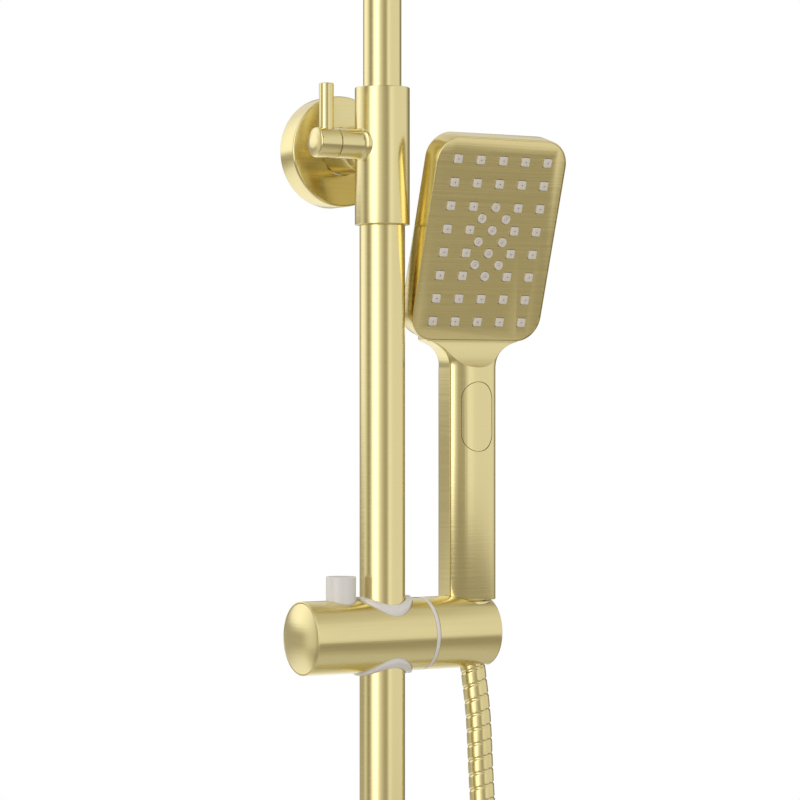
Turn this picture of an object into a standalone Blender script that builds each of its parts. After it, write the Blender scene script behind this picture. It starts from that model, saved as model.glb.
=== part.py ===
"""Wall shower column: an upper wall arm with a diverter, a round slide rail, a gooseneck with a
rain head on a ball joint, and a handset in a tilting holder on a sliding, turning clamp.

Metres, +Z up. The wall is the plane Y = 0 and the object stands in front of it, at -Y. The origin is
on the wall at the axis of the upper arm.
"""

from math import cos, pi, radians, sin, sqrt

import bmesh
import bpy
from mathutils import Matrix, Vector

# ---- driving dimensions ----------------------------------------------------------------------
GAP = 0.0003  # between pieces that meet
MERGE = 0.00001
SIDES = 28  # facets round a main turned piece
SMALL_SIDES = 14  # facets round a small one
RAIN_SIDES = 40

STANDOFF = 0.0592  # wall to the axis of the rail
RAIL_Y = -STANDOFF
RAIL_R = 0.0125
RAIL_BORE_R = 0.0105
RISER_R = 0.0105

FLANGE_R = 0.0312
FLANGE_DEPTH = 0.0152
FLANGE_WALL = 0.0025
ARM_R = 0.0132
ARM_BORE_R = 0.0080
ARM_SEAM = 0.0200  # rail axis to the seam between the body's rear boss and the arm
ARM_RING_WIDTH = 0.0008

BODY_R = 0.0151
BODY_TOP = 0.0318
BODY_BOTTOM = -0.0437
RISER_SOCKET_DEPTH = 0.0200
RAIL_SOCKET_DEPTH = 0.0225

HANDLE_R = 0.0082
HANDLE_SEAM = -0.0300  # X where the turning handle meets the fixed boss
HANDLE_END = -0.0428
LEVER_R = 0.0040
LEVER_X = -0.0355
LEVER_TOP = 0.0324
CARTRIDGE_R = 0.0062
STEM_R = 0.0030

LOWER_Z = -0.8800  # axis of the lower arm
LOWER_BODY_HALF = 0.0300
LOWER_FLANGE_R = 0.0280

GOOSENECK_TOP = 0.3600
GOOSENECK_REACH = 0.3800  # rail axis to the axis of the rain head
GOOSENECK_BEND = 0.0700
GOOSENECK_END = 0.3080
BALL_Z = 0.2960
BALL_R = 0.0100
RAIN_R = 0.1250
RAIN_TOP = BALL_Z - 0.0160
RAIN_RINGS = 3
RAIN_RING_PITCH = 0.0330

SLIDER_Z = -0.2689
SLIDER_R = 0.0201
SLIDER_LEFT = -0.0511
SLIDER_RIGHT = 0.0232
CAP_THICKNESS = 0.0040
LINER_R = 0.0163
LINER_PROUD = 0.0014
BUTTON_X = -0.0263
BUTTON_R = 0.0082
BUTTON_TOP = 0.0330  # above the slider's axis
FRICTION_RING_WIDTH = 0.0018
HOLDER_LEFT = SLIDER_RIGHT + FRICTION_RING_WIDTH + 2 * GAP
HOLDER_RIGHT = 0.0668

SEAT_X = 0.0577  # axis of the handset and of the holder's bore
SEAT_Y = RAIL_Y + 0.0004
SEAT_Z = SLIDER_Z + 0.0174  # bottom of the handle
BORE_TOP_R = 0.0131
BORE_BOTTOM_R = 0.0098
BORE_SLOT = 0.0152
NUT_BOTTOM = SLIDER_Z - 0.0050

HANDLE_WIDTH = 0.0304
HANDLE_BACK = 0.0117  # behind the rail's axis plane
HANDLE_FRONT = -0.0086
HANDLE_FRONT_CORNER = 0.0056
HANDLE_BACK_CORNER = 0.0030
HANDLE_BULGE = 0.0008  # how far the front's middle stands ahead of its corners
INLET_R = 0.0078  # threaded stub the hose's cone nut screws on to
HEAD_TILT = radians(16.7)
HEAD_WIDTH = 0.0850
HEAD_HEIGHT = 0.1155
HEAD_CORNER = 0.0145
HEAD_DEPTH = 0.0150
NECK_HEIGHT = 0.0195
FACE_CENTRE = Vector((SEAT_X, RAIL_Y - 0.0201, -0.0516))
PLATE_INSET = 0.0020  # the spray plate is this much smaller than the head
NOZZLE_COLUMNS = 5
NOZZLE_ROWS = 8
NOZZLE_COLUMN_PITCH = 0.0147
NOZZLE_ROW_PITCH = 0.0131
NOZZLE_SQUARE = 0.0048
NOZZLE_ROUND_R = 0.0026
NOZZLE_PROUD = 0.0012
NOZZLE_DROP = 0.0006  # the nozzle field stands this much below the middle of the face

MODE_Z = -0.1490
WATERWAY_R = 0.0046
WATERWAY_BACK = 0.0035
MODE_WIDTH = 0.0200
MODE_HEIGHT = 0.0385
MODE_POCKET_FLOOR = 0.0022  # in front of the rail's axis plane

HOSE_R = 0.0070

# ---- colours ----------------------------------------------------------------------------------
GOLD = ((0.79, 0.68, 0.40, 1.0), 0.30, 1.0)
BRIGHT_GOLD = ((0.92, 0.84, 0.58, 1.0), 0.16, 1.0)
BRASS = ((0.72, 0.56, 0.28, 1.0), 0.38, 1.0)
STEEL = ((0.62, 0.62, 0.60, 1.0), 0.35, 1.0)
WHITE_PLASTIC = ((0.86, 0.83, 0.81, 1.0), 0.42, 0.0)
DARK_PLASTIC = ((0.05, 0.05, 0.05, 1.0), 0.50, 0.0)
SILICONE = ((0.86, 0.82, 0.76, 1.0), 0.60, 0.0)
RUBBER = ((0.03, 0.03, 0.03, 1.0), 0.70, 0.0)

TO_X = Matrix.Rotation(pi / 2, 4, "Y")  # turns a piece made along Z to lie along X
TO_WALL = Matrix.Rotation(-pi / 2, 4, "X")  # and along Y, its top towards the wall
OFF_FACET = Matrix.Rotation(radians(4), 4, "Z")  # keeps a cutter's facets off its neighbours'


# ---- scene and helpers ------------------------------------------------------------------------
for old in list(bpy.data.objects):
    bpy.data.objects.remove(old, do_unlink=True)

PARTS = bpy.data.collections.new("shower_column")
CUTTERS = bpy.data.collections.new("cutters")
bpy.context.scene.collection.children.link(PARTS)
bpy.context.scene.collection.children.link(CUTTERS)


def material(name, look):
    """A Principled material from a colour, a roughness and a metallic value."""
    made = bpy.data.materials.get(name)
    if made:
        return made
    colour, roughness, metallic = look
    made = bpy.data.materials.new(name)
    made.use_nodes = True
    shader = made.node_tree.nodes["Principled BSDF"]
    shader.inputs["Base Color"].default_value = colour
    shader.inputs["Roughness"].default_value = roughness
    shader.inputs["Metallic"].default_value = metallic
    return made


def smooth(mesh):
    """Round surfaces shade smooth, and edges over 35 degrees stay sharp."""
    mesh.shade_smooth()
    mesh.set_sharp_from_angle(angle=radians(35))


def add_mesh(name, mesh, look=None):
    """Links a mesh as a part, or as a cutter where it has no look."""
    piece = bpy.data.objects.new(name, mesh)
    if look:
        mesh.materials.clear()
        mesh.materials.append(material(name + "_finish", look))
        PARTS.objects.link(piece)
    else:
        CUTTERS.objects.link(piece)
        piece.hide_render = True
        piece.display_type = "WIRE"
    return piece


def turned(name, look, profile, place=None, sides=SIDES, closed=False):
    """A turned piece: (radius, height) points down its outer side, spun about Z and then placed.

    An open profile starts and ends on the axis. A closed one is a ring's section."""
    mesh = bpy.data.meshes.new(name)
    points = [(radius, 0, height) for radius, height in profile]
    edges = [(i, i + 1) for i in range(len(points) - 1)]
    if closed:
        edges.append((len(points) - 1, 0))
    mesh.from_pydata(points, edges, [])
    raw = bpy.data.objects.new(name + "_profile", mesh)
    bpy.context.scene.collection.objects.link(raw)
    screw = raw.modifiers.new("spin", "SCREW")
    screw.steps = screw.render_steps = sides
    screw.use_merge_vertices = True
    screw.merge_threshold = MERGE
    made = baked(raw, name)
    made.transform(place or Matrix())
    smooth(made)
    return add_mesh(name, made, look)


def baked(raw, name):
    """The evaluated mesh of a helper object, which is then removed."""
    bpy.context.view_layer.update()
    evaluated = raw.evaluated_get(bpy.context.evaluated_depsgraph_get())
    made = bpy.data.meshes.new_from_object(evaluated)
    made.name = name
    made.transform(raw.matrix_world)
    work = bmesh.new()
    work.from_mesh(made)
    bmesh.ops.remove_doubles(work, verts=work.verts, dist=MERGE)
    work.to_mesh(made)
    work.free()
    data = raw.data
    bpy.data.objects.remove(raw)
    if isinstance(data, bpy.types.Curve):
        bpy.data.curves.remove(data)
    return made


def rod(name, look, radius, low, high, place=None, sides=SIDES, bevel=0.0):
    """A plain turned rod from low to high, with bevelled rims where asked."""
    if bevel:
        profile = [
            (0, high),
            (radius - bevel, high),
            (radius, high - bevel),
            (radius, low + bevel),
            (radius - bevel, low),
            (0, low),
        ]
    else:
        profile = [(0, high), (radius, high), (radius, low), (0, low)]
    return turned(name, look, profile, place, sides)


def ring(name, look, inner, outer, low, high, place=None, sides=SIDES, bevel=0.0):
    """A turned ring or tube, with its outer rims bevelled where asked."""
    profile = [(inner, high), (outer - bevel, high)]
    if bevel:
        profile += [(outer, high - bevel), (outer, low + bevel)]
    else:
        profile += [(outer, low)]
    if bevel:
        profile += [(outer - bevel, low)]
    profile += [(inner, low)]
    return turned(name, look, profile, place, sides, closed=True)


def hex_ring(name, look, inner, outer, low, high, place):
    """A hexagonal nut with a round bore."""
    nut = rod(name, look, outer, low, high, place, 6)
    cut(nut, rod(name + "_bore", None, inner, low - 0.001, high + 0.001, place, 24))
    return nut


def o_ring(name, centre_r, thick_r, height, place):
    """A rubber ring of round section."""
    section = [
        (centre_r + thick_r * sin(2 * pi * i / 6), height + thick_r * cos(2 * pi * i / 6))
        for i in range(6)
    ]
    return turned(name, RUBBER, section, place, closed=True)


def rounded_outline(width, height, corner, steps=5):
    """Points of a rounded rectangle about the origin, counterclockwise."""
    points = []
    for quarter in range(4):
        side_x = (1, -1, -1, 1)[quarter]
        side_y = (1, 1, -1, -1)[quarter]
        for i in range(steps + 1):
            angle = (quarter + i / steps) * pi / 2
            x = side_x * (width / 2 - corner) + corner * cos(angle)
            y = side_y * (height / 2 - corner) + corner * sin(angle)
            points.append((x, y))
    return points


def slab(name, look, outline, low, high, place, bevel=0.0, segments=1):
    """A flat outline in XY, extruded from low to high, bevelled on its rims, and placed."""
    curve = bpy.data.curves.new(name, "CURVE")
    curve.dimensions = "2D"
    curve.fill_mode = "BOTH"
    curve.extrude = (high - low) / 2
    spline = curve.splines.new("POLY")
    spline.points.add(len(outline) - 1)
    for point, (x, y) in zip(spline.points, outline, strict=True):
        point.co = (x, y, 0, 1)
    spline.use_cyclic_u = True
    raw = bpy.data.objects.new(name + "_outline", curve)
    raw.location = (0, 0, (low + high) / 2)
    bpy.context.scene.collection.objects.link(raw)
    made = baked(raw, name)
    if bevel:
        bevel_rims(made, bevel, segments)
    made.transform(place)
    smooth(made)
    return add_mesh(name, made, look)


def bevel_rims(mesh, width, segments):
    """Bevels the edges where a slab's flat faces meet its sides."""
    work = bmesh.new()
    work.from_mesh(mesh)
    rims = [
        edge
        for edge in work.edges
        if len(edge.link_faces) == 2
        and abs(edge.verts[0].co.z - edge.verts[1].co.z) < MERGE
        and edge.calc_face_angle(0) > radians(60)
    ]
    bmesh.ops.bevel(
        work, geom=rims, offset=width, segments=segments, profile=0.5, affect="EDGES"
    )
    work.to_mesh(mesh)
    work.free()


def cut(piece, *cutters):
    """Takes each cutter out of a piece."""
    for cutter in cutters:
        modifier = piece.modifiers.new("cut", "BOOLEAN")
        modifier.operation = "DIFFERENCE"
        modifier.solver = "EXACT"
        modifier.object = cutter


def joined(piece, *helpers):
    """Adds helper solids to a piece."""
    for helper in helpers:
        modifier = piece.modifiers.new("join", "BOOLEAN")
        modifier.operation = "UNION"
        modifier.solver = "EXACT"
        modifier.object = helper


def smooth_route(points, spacing):
    """Evenly spaced points along a smooth curve through a route's own points."""
    fine = []
    ends = [points[0] * 2 - points[1]] + points + [points[-1] * 2 - points[-2]]
    for i in range(len(points) - 1):
        before, start, end, after = ends[i : i + 4]
        for step in range(24):
            t = step / 24
            fine.append(
                0.5
                * (
                    start * 2
                    + (end - before) * t
                    + (before * 2 - start * 5 + end * 4 - after) * t * t
                    + (start * 3 - before - end * 3 + after) * t * t * t
                )
            )
    fine.append(points[-1])
    lengths = [0.0]
    for here, there in zip(fine, fine[1:]):
        lengths.append(lengths[-1] + (there - here).length)
    count = max(2, round(lengths[-1] / spacing))
    even = []
    place = 0
    for i in range(count + 1):
        target = lengths[-1] * i / count
        while place < len(fine) - 2 and lengths[place + 1] < target:
            place += 1
        share = (target - lengths[place]) / (lengths[place + 1] - lengths[place])
        even.append(fine[place].lerp(fine[place + 1], min(1.0, share)))
    return even


def tube(name, look, points, radius, resolution=3):
    """A solid tube along points: a bevelled curve with filled caps."""
    curve = bpy.data.curves.new(name, "CURVE")
    curve.dimensions = "3D"
    curve.bevel_depth = radius
    curve.bevel_resolution = resolution
    curve.use_fill_caps = True
    spline = curve.splines.new("POLY")
    spline.points.add(len(points) - 1)
    for point, where in zip(spline.points, points, strict=True):
        point.co = (*where, 1)
    raw = bpy.data.objects.new(name + "_path", curve)
    bpy.context.scene.collection.objects.link(raw)
    made = baked(raw, name)
    smooth(made)
    return add_mesh(name, made, look)


def coil(name, axis_place, coil_r, wire_r, length, turns):
    """A compression spring along local Z, from 0 to length, placed in the world."""
    steps = 9
    points = []
    for i in range(round(turns * steps) + 1):
        angle = 2 * pi * i / steps
        height = wire_r + (length - 2 * wire_r) * i / (turns * steps)
        local = Vector((coil_r * cos(angle), coil_r * sin(angle), height))
        points.append(axis_place @ local)
    return tube(name, STEEL, points, wire_r, 1)


def at(x, y, z, turn=None):
    """A placement: a turn, then a move."""
    return Matrix.Translation((x, y, z)) @ (turn or Matrix())


def at_rail(z=0.0, turn=None):
    """A placement on the rail's axis."""
    return at(0, RAIL_Y, z, turn)


def empty(name, where):
    """A marker on a joint's axis, the parent of what turns or slides there."""
    marker = bpy.data.objects.new(name, None)
    marker.empty_display_size = 0.01
    marker.location = where
    PARTS.objects.link(marker)
    return marker


def hang(marker, *pieces):
    """Parents pieces to a joint's marker without moving them."""
    bpy.context.view_layer.update()
    for piece in pieces:
        piece.parent = marker
        piece.matrix_parent_inverse = marker.matrix_world.inverted()


# ---- upper arm and diverter -------------------------------------------------------------------
def wall_flange(name, axis_z, radius, hole_r):
    """A cover cup against the wall, open at the back, with a hole for the arm."""
    profile = [
        (hole_r, FLANGE_DEPTH),
        (radius - 0.0012, FLANGE_DEPTH),
        (radius - 0.0003, FLANGE_DEPTH - 0.0004),
        (radius, FLANGE_DEPTH - 0.0014),
        (radius, 0),
        (radius - FLANGE_WALL, 0),
        (radius - FLANGE_WALL, FLANGE_DEPTH - FLANGE_WALL),
        (hole_r, FLANGE_DEPTH - FLANGE_WALL),
    ]
    away_from_wall = at(0, 0, axis_z, Matrix.Rotation(pi / 2, 4, "X"))
    return turned(name, GOLD, profile, away_from_wall, 32, closed=True)


def upper_arm_pieces():
    """Flange, union, arm and its seam ring, from the wall to the body's rear boss."""
    wall_flange("upper_flange", 0, FLANGE_R, ARM_R + GAP)
    out = at(0, 0, 0, Matrix.Rotation(pi / 2, 4, "X"))
    seam = STANDOFF - ARM_SEAM - ARM_RING_WIDTH - GAP
    union_front = 0.0095
    ring(
        "upper_arm", GOLD, ARM_BORE_R, ARM_R, union_front + GAP + 0.0020 + GAP, seam, out
    )
    ring("arm_ring", BRIGHT_GOLD, 0.0100, ARM_R + 0.0001, seam + GAP, seam + GAP + ARM_RING_WIDTH, out)
    hex_ring("inlet_union", BRASS, 0.0070, 0.0150, 0, union_front, out)
    ring(
        "inlet_washer", RUBBER, 0.0072, 0.0120, union_front + GAP, union_front + GAP + 0.0020, out,
        SMALL_SIDES,
    )


def diverter_body():
    """The upright sleeve with its sockets, its rear boss and its side boss for the handle."""
    riser_floor = BODY_TOP - RISER_SOCKET_DEPTH
    rail_roof = BODY_BOTTOM + RAIL_SOCKET_DEPTH
    groove = 0.0012
    riser_groove = riser_floor + 0.0080
    rail_groove = rail_roof - 0.0080
    neck_r = 0.0045
    rim = 0.0004
    profile = [
        (RISER_R + GAP, BODY_TOP),
        (BODY_R - rim, BODY_TOP),
        (BODY_R, BODY_TOP - rim),
        (BODY_R, BODY_BOTTOM + rim),
        (BODY_R - rim, BODY_BOTTOM),
        (RAIL_R + GAP, BODY_BOTTOM),
        (RAIL_R + GAP, rail_groove - groove),
        (RAIL_R + GAP + groove, rail_groove - groove),
        (RAIL_R + GAP + groove, rail_groove + groove),
        (RAIL_R + GAP, rail_groove + groove),
        (RAIL_R + GAP, rail_roof),
        (neck_r, rail_roof),
        (neck_r, riser_floor),
        (RISER_R + GAP, riser_floor),
        (RISER_R + GAP, riser_groove - groove),
        (RISER_R + GAP + groove, riser_groove - groove),
        (RISER_R + GAP + groove, riser_groove + groove),
        (RISER_R + GAP, riser_groove + groove),
    ]
    body = turned("diverter_body", GOLD, profile, at_rail(), closed=True)
    boss_start = 0.0100
    rear_boss = rod("rear_boss", None, ARM_R, boss_start, ARM_SEAM, at_rail(0, TO_WALL))
    side_boss = rod("side_boss", None, HANDLE_R, boss_start, -HANDLE_SEAM - GAP,
                    at_rail(0, Matrix.Rotation(-pi / 2, 4, "Y")))
    hollow = rod("body_hollow", None, BODY_R - 0.0030, rail_roof + 0.0040, riser_floor - 0.0040,
                 at_rail(), 24)
    inlet = rod("body_inlet", None, 0.0079, 0, ARM_SEAM + 0.001, at_rail(0, TO_WALL), 24)
    cross = rod("body_cross_bore", None, CARTRIDGE_R + GAP, -0.0095, -HANDLE_SEAM + 0.001,
                at_rail(0, Matrix.Rotation(-pi / 2, 4, "Y")), 24)
    socket = rod("riser_socket", None, RISER_R + GAP, riser_floor, ARM_R + 0.0008, at_rail())
    joined(body, rear_boss, side_boss)
    cut(body, hollow, inlet, cross, socket)
    groove_ring_r = 0.0005
    o_ring("riser_o_ring", RISER_R + GAP + groove_ring_r, groove_ring_r, riser_groove, at_rail())
    o_ring("rail_o_ring", RAIL_R + GAP + groove_ring_r, groove_ring_r, rail_groove, at_rail())


def diverter_pieces():
    """Cartridge, stem, turning handle, its lever and the small screw that holds it."""
    left = at_rail(0, Matrix.Rotation(-pi / 2, 4, "Y"))
    front_of_cartridge = -HANDLE_SEAM - 0.0010
    ring("diverter_cartridge", WHITE_PLASTIC, STEM_R + GAP, CARTRIDGE_R, -0.0090, front_of_cartridge,
         left, 24)
    stem_end = -HANDLE_END - 0.0045
    stem = rod("diverter_stem", BRASS, STEM_R, 0.0, stem_end, left, 16)
    dome = 0.0010
    profile = [
        (0, -HANDLE_END + dome),
        (HANDLE_R * 0.5, -HANDLE_END + dome * 0.74),
        (HANDLE_R - 0.0008, -HANDLE_END + 0.0001),
        (HANDLE_R, -HANDLE_END - 0.0007),
        (HANDLE_R, -HANDLE_SEAM),
        (STEM_R + GAP, -HANDLE_SEAM),
        (STEM_R + GAP, stem_end + GAP),
        (0, stem_end + GAP),
    ]
    handle = turned("diverter_handle", GOLD, profile, left)
    socket_floor = STEM_R + 0.0009
    lever_socket = rod("lever_socket", None, LEVER_R + GAP, socket_floor, 0.012,
                       at(LEVER_X, RAIL_Y, 0), 24)
    screw_socket = rod("screw_socket", None, 0.0015 + GAP, STEM_R - 0.0010, 0.012,
                       at(LEVER_X, RAIL_Y, 0, Matrix.Rotation(pi, 4, "X")), 12)
    cut(handle, lever_socket, screw_socket)
    lever = rod("diverter_lever", GOLD, LEVER_R, socket_floor + GAP, LEVER_TOP,
                at(LEVER_X, RAIL_Y, 0), 24, 0.0005)
    screw = rod("handle_grub_screw", STEEL, 0.0015, STEM_R + 2 * GAP, HANDLE_R - 0.0012,
                at(LEVER_X, RAIL_Y, 0, Matrix.Rotation(pi, 4, "X")), 12)
    hang(empty("diverter_axis", (0, RAIL_Y, 0)), stem, handle, lever, screw)


# ---- rail and lower arm -----------------------------------------------------------------------
def rail_and_lower_arm():
    """The slide rail, the lower body that carries it, and the arm back to the wall."""
    rail_top = BODY_BOTTOM + RAIL_SOCKET_DEPTH - GAP
    lower_top = LOWER_Z + LOWER_BODY_HALF
    rail_floor = LOWER_Z - 0.0060
    ring("slide_rail", GOLD, RAIL_BORE_R, RAIL_R, rail_floor + GAP, rail_top, at_rail())
    spigot_r = 0.0104
    lower_bottom = LOWER_Z - LOWER_BODY_HALF
    rim = 0.0004
    profile = [
        (RAIL_R + GAP, lower_top),
        (BODY_R - rim, lower_top),
        (BODY_R, lower_top - rim),
        (BODY_R, lower_bottom + rim),
        (BODY_R - rim, lower_bottom),
        (spigot_r + GAP, lower_bottom),
        (spigot_r + GAP, rail_floor - 0.0080),
        (0.0070, rail_floor - 0.0080),
        (0.0070, rail_floor),
        (RAIL_R + GAP, rail_floor),
    ]
    body = turned("lower_body", GOLD, profile, at_rail(), closed=True)
    boss_r = 0.0105
    boss = rod("lower_boss", None, boss_r, 0.0138, ARM_SEAM, at_rail(LOWER_Z, TO_WALL))
    joined(body, boss)
    out = at(0, 0, LOWER_Z, Matrix.Rotation(pi / 2, 4, "X"))
    plate_front = 0.0040
    wall_flange("lower_flange", LOWER_Z, LOWER_FLANGE_R, boss_r + GAP)
    rod("lower_arm", GOLD, boss_r, plate_front + GAP, STANDOFF - ARM_SEAM - GAP, out)
    plate = rod("lower_mount_plate", STEEL, LOWER_FLANGE_R - FLANGE_WALL - GAP, 0, plate_front, out)
    for side, x in (("left", -0.0175), ("right", 0.0175)):
        place = at(x, 0, LOWER_Z, Matrix.Rotation(pi / 2, 4, "X"))
        hole = rod("mount_hole_" + side, None, 0.0025 + GAP, -0.001, plate_front + 0.001, place, 16)
        cut(plate, hole)
        profile = [
            (0, plate_front + GAP + 0.0026),
            (0.0026, plate_front + GAP + 0.0022),
            (0.0046, plate_front + GAP),
            (0.0025, plate_front + GAP),
            (0.0025, 0.0003),
            (0, 0.0003),
        ]
        turned("mount_screw_" + side, STEEL, profile, place, 16)
    ring("hose_outlet", BRASS, 0.0060, spigot_r, lower_bottom - 0.0130, rail_floor - 0.0080 - GAP,
         at_rail(), 24)


# ---- gooseneck and rain head ------------------------------------------------------------------
def arc_points(centre, start, end, radius, steps):
    """Points on an arc in the YZ plane, from one angle to another."""
    points = []
    for i in range(steps + 1):
        angle = start + (end - start) * i / steps
        points.append(
            Vector((0, centre[0] + radius * cos(angle), centre[1] + radius * sin(angle)))
        )
    return points


def gooseneck():
    """The riser tube: up from the body, over to the front and down to the ball joint."""
    front = RAIL_Y - GOOSENECK_REACH
    bend = GOOSENECK_BEND
    end_bend = 0.0400
    points = [Vector((0, RAIL_Y, BODY_TOP - RISER_SOCKET_DEPTH + GAP))]
    points += arc_points((RAIL_Y - bend, GOOSENECK_TOP - bend), 0, pi / 2, bend, 9)
    points += arc_points((front + end_bend, GOOSENECK_TOP - end_bend), pi / 2, pi, end_bend, 8)
    points.append(Vector((0, front, GOOSENECK_END)))
    riser = tube("riser_tube", GOLD, points, RISER_R, 4)
    bore = rod("riser_end_bore", None, 0.0085, -0.0010, 0.0140,
               at(0, front, GOOSENECK_END), SMALL_SIDES)
    lower_bore = rod("riser_foot_bore", None, 0.0090, 0, 0.0400, at_rail(0), SMALL_SIDES)
    cut(riser, bore, lower_bore)


def rain_nozzle_places():
    """Centres of the rain head's nozzles: one in the middle and rings of 6, 12 and 18."""
    places = [(0.0, 0.0)]
    for number in range(1, RAIN_RINGS + 1):
        for i in range(6 * number):
            angle = 2 * pi * (i + 0.5 * (number % 2)) / (6 * number)
            places.append(
                (number * RAIN_RING_PITCH * cos(angle), number * RAIN_RING_PITCH * sin(angle))
            )
    return places


def rain_head():
    """Ball stem, seat ring, nut and the thin round head with its face and nozzle mat."""
    front = RAIL_Y - GOOSENECK_REACH
    axis = at(0, front, 0)
    ball = [(BALL_R * sin(pi * i / 8), BALL_Z - BALL_R * cos(pi * i / 8)) for i in range(9)]
    neck_r = 0.0060
    upper = [(r, z) for r, z in reversed(ball) if z < BALL_Z + sqrt(BALL_R**2 - neck_r**2) - 0.0004]
    profile = [
        (0, GOOSENECK_END + 0.0120),
        (0.0082, GOOSENECK_END + 0.0120),
        (0.0082, GOOSENECK_END - GAP),
        (RISER_R, GOOSENECK_END - GAP),
        (RISER_R, GOOSENECK_END - 0.0025),
        (neck_r, GOOSENECK_END - 0.0035),
        *upper,
    ]
    turned("ball_stem", GOLD, profile, axis, 20)
    seat_r = BALL_R + GAP
    seat_low = BALL_Z - 0.0015
    seat_high = BALL_Z + 0.0015
    outer_r = 0.0116
    heights = [seat_low + (seat_high - seat_low) * i / 3 for i in range(4)]
    seat = [(outer_r, seat_high), (outer_r, seat_low)]
    seat += [(sqrt(seat_r**2 - (z - BALL_Z) ** 2) + 0.0002, z) for z in heights]
    turned("ball_seat_ring", WHITE_PLASTIC, seat, axis, 20, closed=True)
    nut_r = 0.0165
    shoulder = 0.0042  # above the ball's centre, clear of the seat ring at full tilt
    nut_mouth = sqrt(seat_r**2 - shoulder**2) + GAP
    nut_top = BALL_Z + shoulder + 0.0022
    profile = [
        (nut_mouth, nut_top),
        (nut_r - 0.0030, nut_top),
        (nut_r, nut_top - 0.0030),
        (nut_r, RAIN_TOP + GAP),
        (0.0132, RAIN_TOP + GAP),
        (0.0132, BALL_Z + shoulder),
        (nut_mouth, BALL_Z + shoulder),
    ]
    turned("ball_nut", GOLD, profile, axis, 24, closed=True)
    washer_r = 0.0124
    ring("rain_washer", RUBBER, 0.0065, washer_r, RAIN_TOP + GAP, RAIN_TOP + GAP + 0.0030, axis,
         SMALL_SIDES)
    shell_depth = 0.0125
    skin = 0.0015
    profile = [
        (0.0060, RAIN_TOP),
        (0.0200, RAIN_TOP),
        (0.0320, RAIN_TOP - 0.0030),
        (RAIN_R - 0.0120, RAIN_TOP - 0.0050),
        (RAIN_R - 0.0020, RAIN_TOP - 0.0070),
        (RAIN_R, RAIN_TOP - 0.0090),
        (RAIN_R, RAIN_TOP - shell_depth),
        (RAIN_R - 0.0050, RAIN_TOP - shell_depth),
        (RAIN_R - 0.0050, RAIN_TOP - 0.0070 - skin),
        (0.0320, RAIN_TOP - 0.0030 - skin),
        (0.0060, RAIN_TOP - 0.0030),
    ]
    turned("rain_head_shell", GOLD, profile, axis, RAIN_SIDES, closed=True)
    plate_bottom = RAIN_TOP - shell_depth + 0.0003
    plate_thick = 0.0012
    hole_r = 0.0024
    nub_r = hole_r - GAP
    plate = rod("rain_face_plate", GOLD, RAIN_R - 0.0050 - GAP, plate_bottom,
                plate_bottom + plate_thick, axis, RAIN_SIDES)
    mat_low = plate_bottom + plate_thick + GAP
    mat = rod("rain_nozzle_mat", SILICONE, RAIN_R - 0.0060, mat_low, mat_low + 0.0010, axis, RAIN_SIDES)
    holes = bmesh.new()
    nubs = bmesh.new()
    for x, y in rain_nozzle_places():
        where = Matrix.Translation((x, front + y, 0))
        middle = where @ Matrix.Translation((0, 0, plate_bottom + plate_thick / 2))
        bmesh.ops.create_cone(holes, cap_ends=True, segments=6, radius1=hole_r, radius2=hole_r,
                              depth=4 * plate_thick, matrix=middle)
        nub_top = mat_low + 0.0005
        nub_bottom = plate_bottom - 0.0012
        centre = where @ Matrix.Translation((0, 0, (nub_top + nub_bottom) / 2))
        bmesh.ops.create_cone(nubs, cap_ends=True, segments=6, radius1=nub_r * 0.7, radius2=nub_r,
                              depth=nub_top - nub_bottom, matrix=centre)
    hole_mesh = bpy.data.meshes.new("rain_holes")
    nub_mesh = bpy.data.meshes.new("rain_nubs")
    holes.to_mesh(hole_mesh)
    nubs.to_mesh(nub_mesh)
    holes.free()
    nubs.free()
    cut(plate, add_mesh("rain_holes", hole_mesh))
    joined(mat, add_mesh("rain_nubs", nub_mesh))


# ---- slider -----------------------------------------------------------------------------------
def rail_liner(name, sign):
    """A white collar round the rail, proud of the slider and shaped to its round side."""
    low, high = 0.0060, 0.0260
    place = at_rail(SLIDER_Z, Matrix.Rotation(0 if sign > 0 else pi, 4, "X"))
    liner = ring(name, WHITE_PLASTIC, RAIL_R + GAP, LINER_R, low, high, place)
    saddle = ring(name + "_saddle", None, SLIDER_R + LINER_PROUD, SLIDER_R + 0.0200, -0.03, 0.03,
                  at_rail(SLIDER_Z, TO_X))
    cut(liner, saddle)
    return liner


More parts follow.
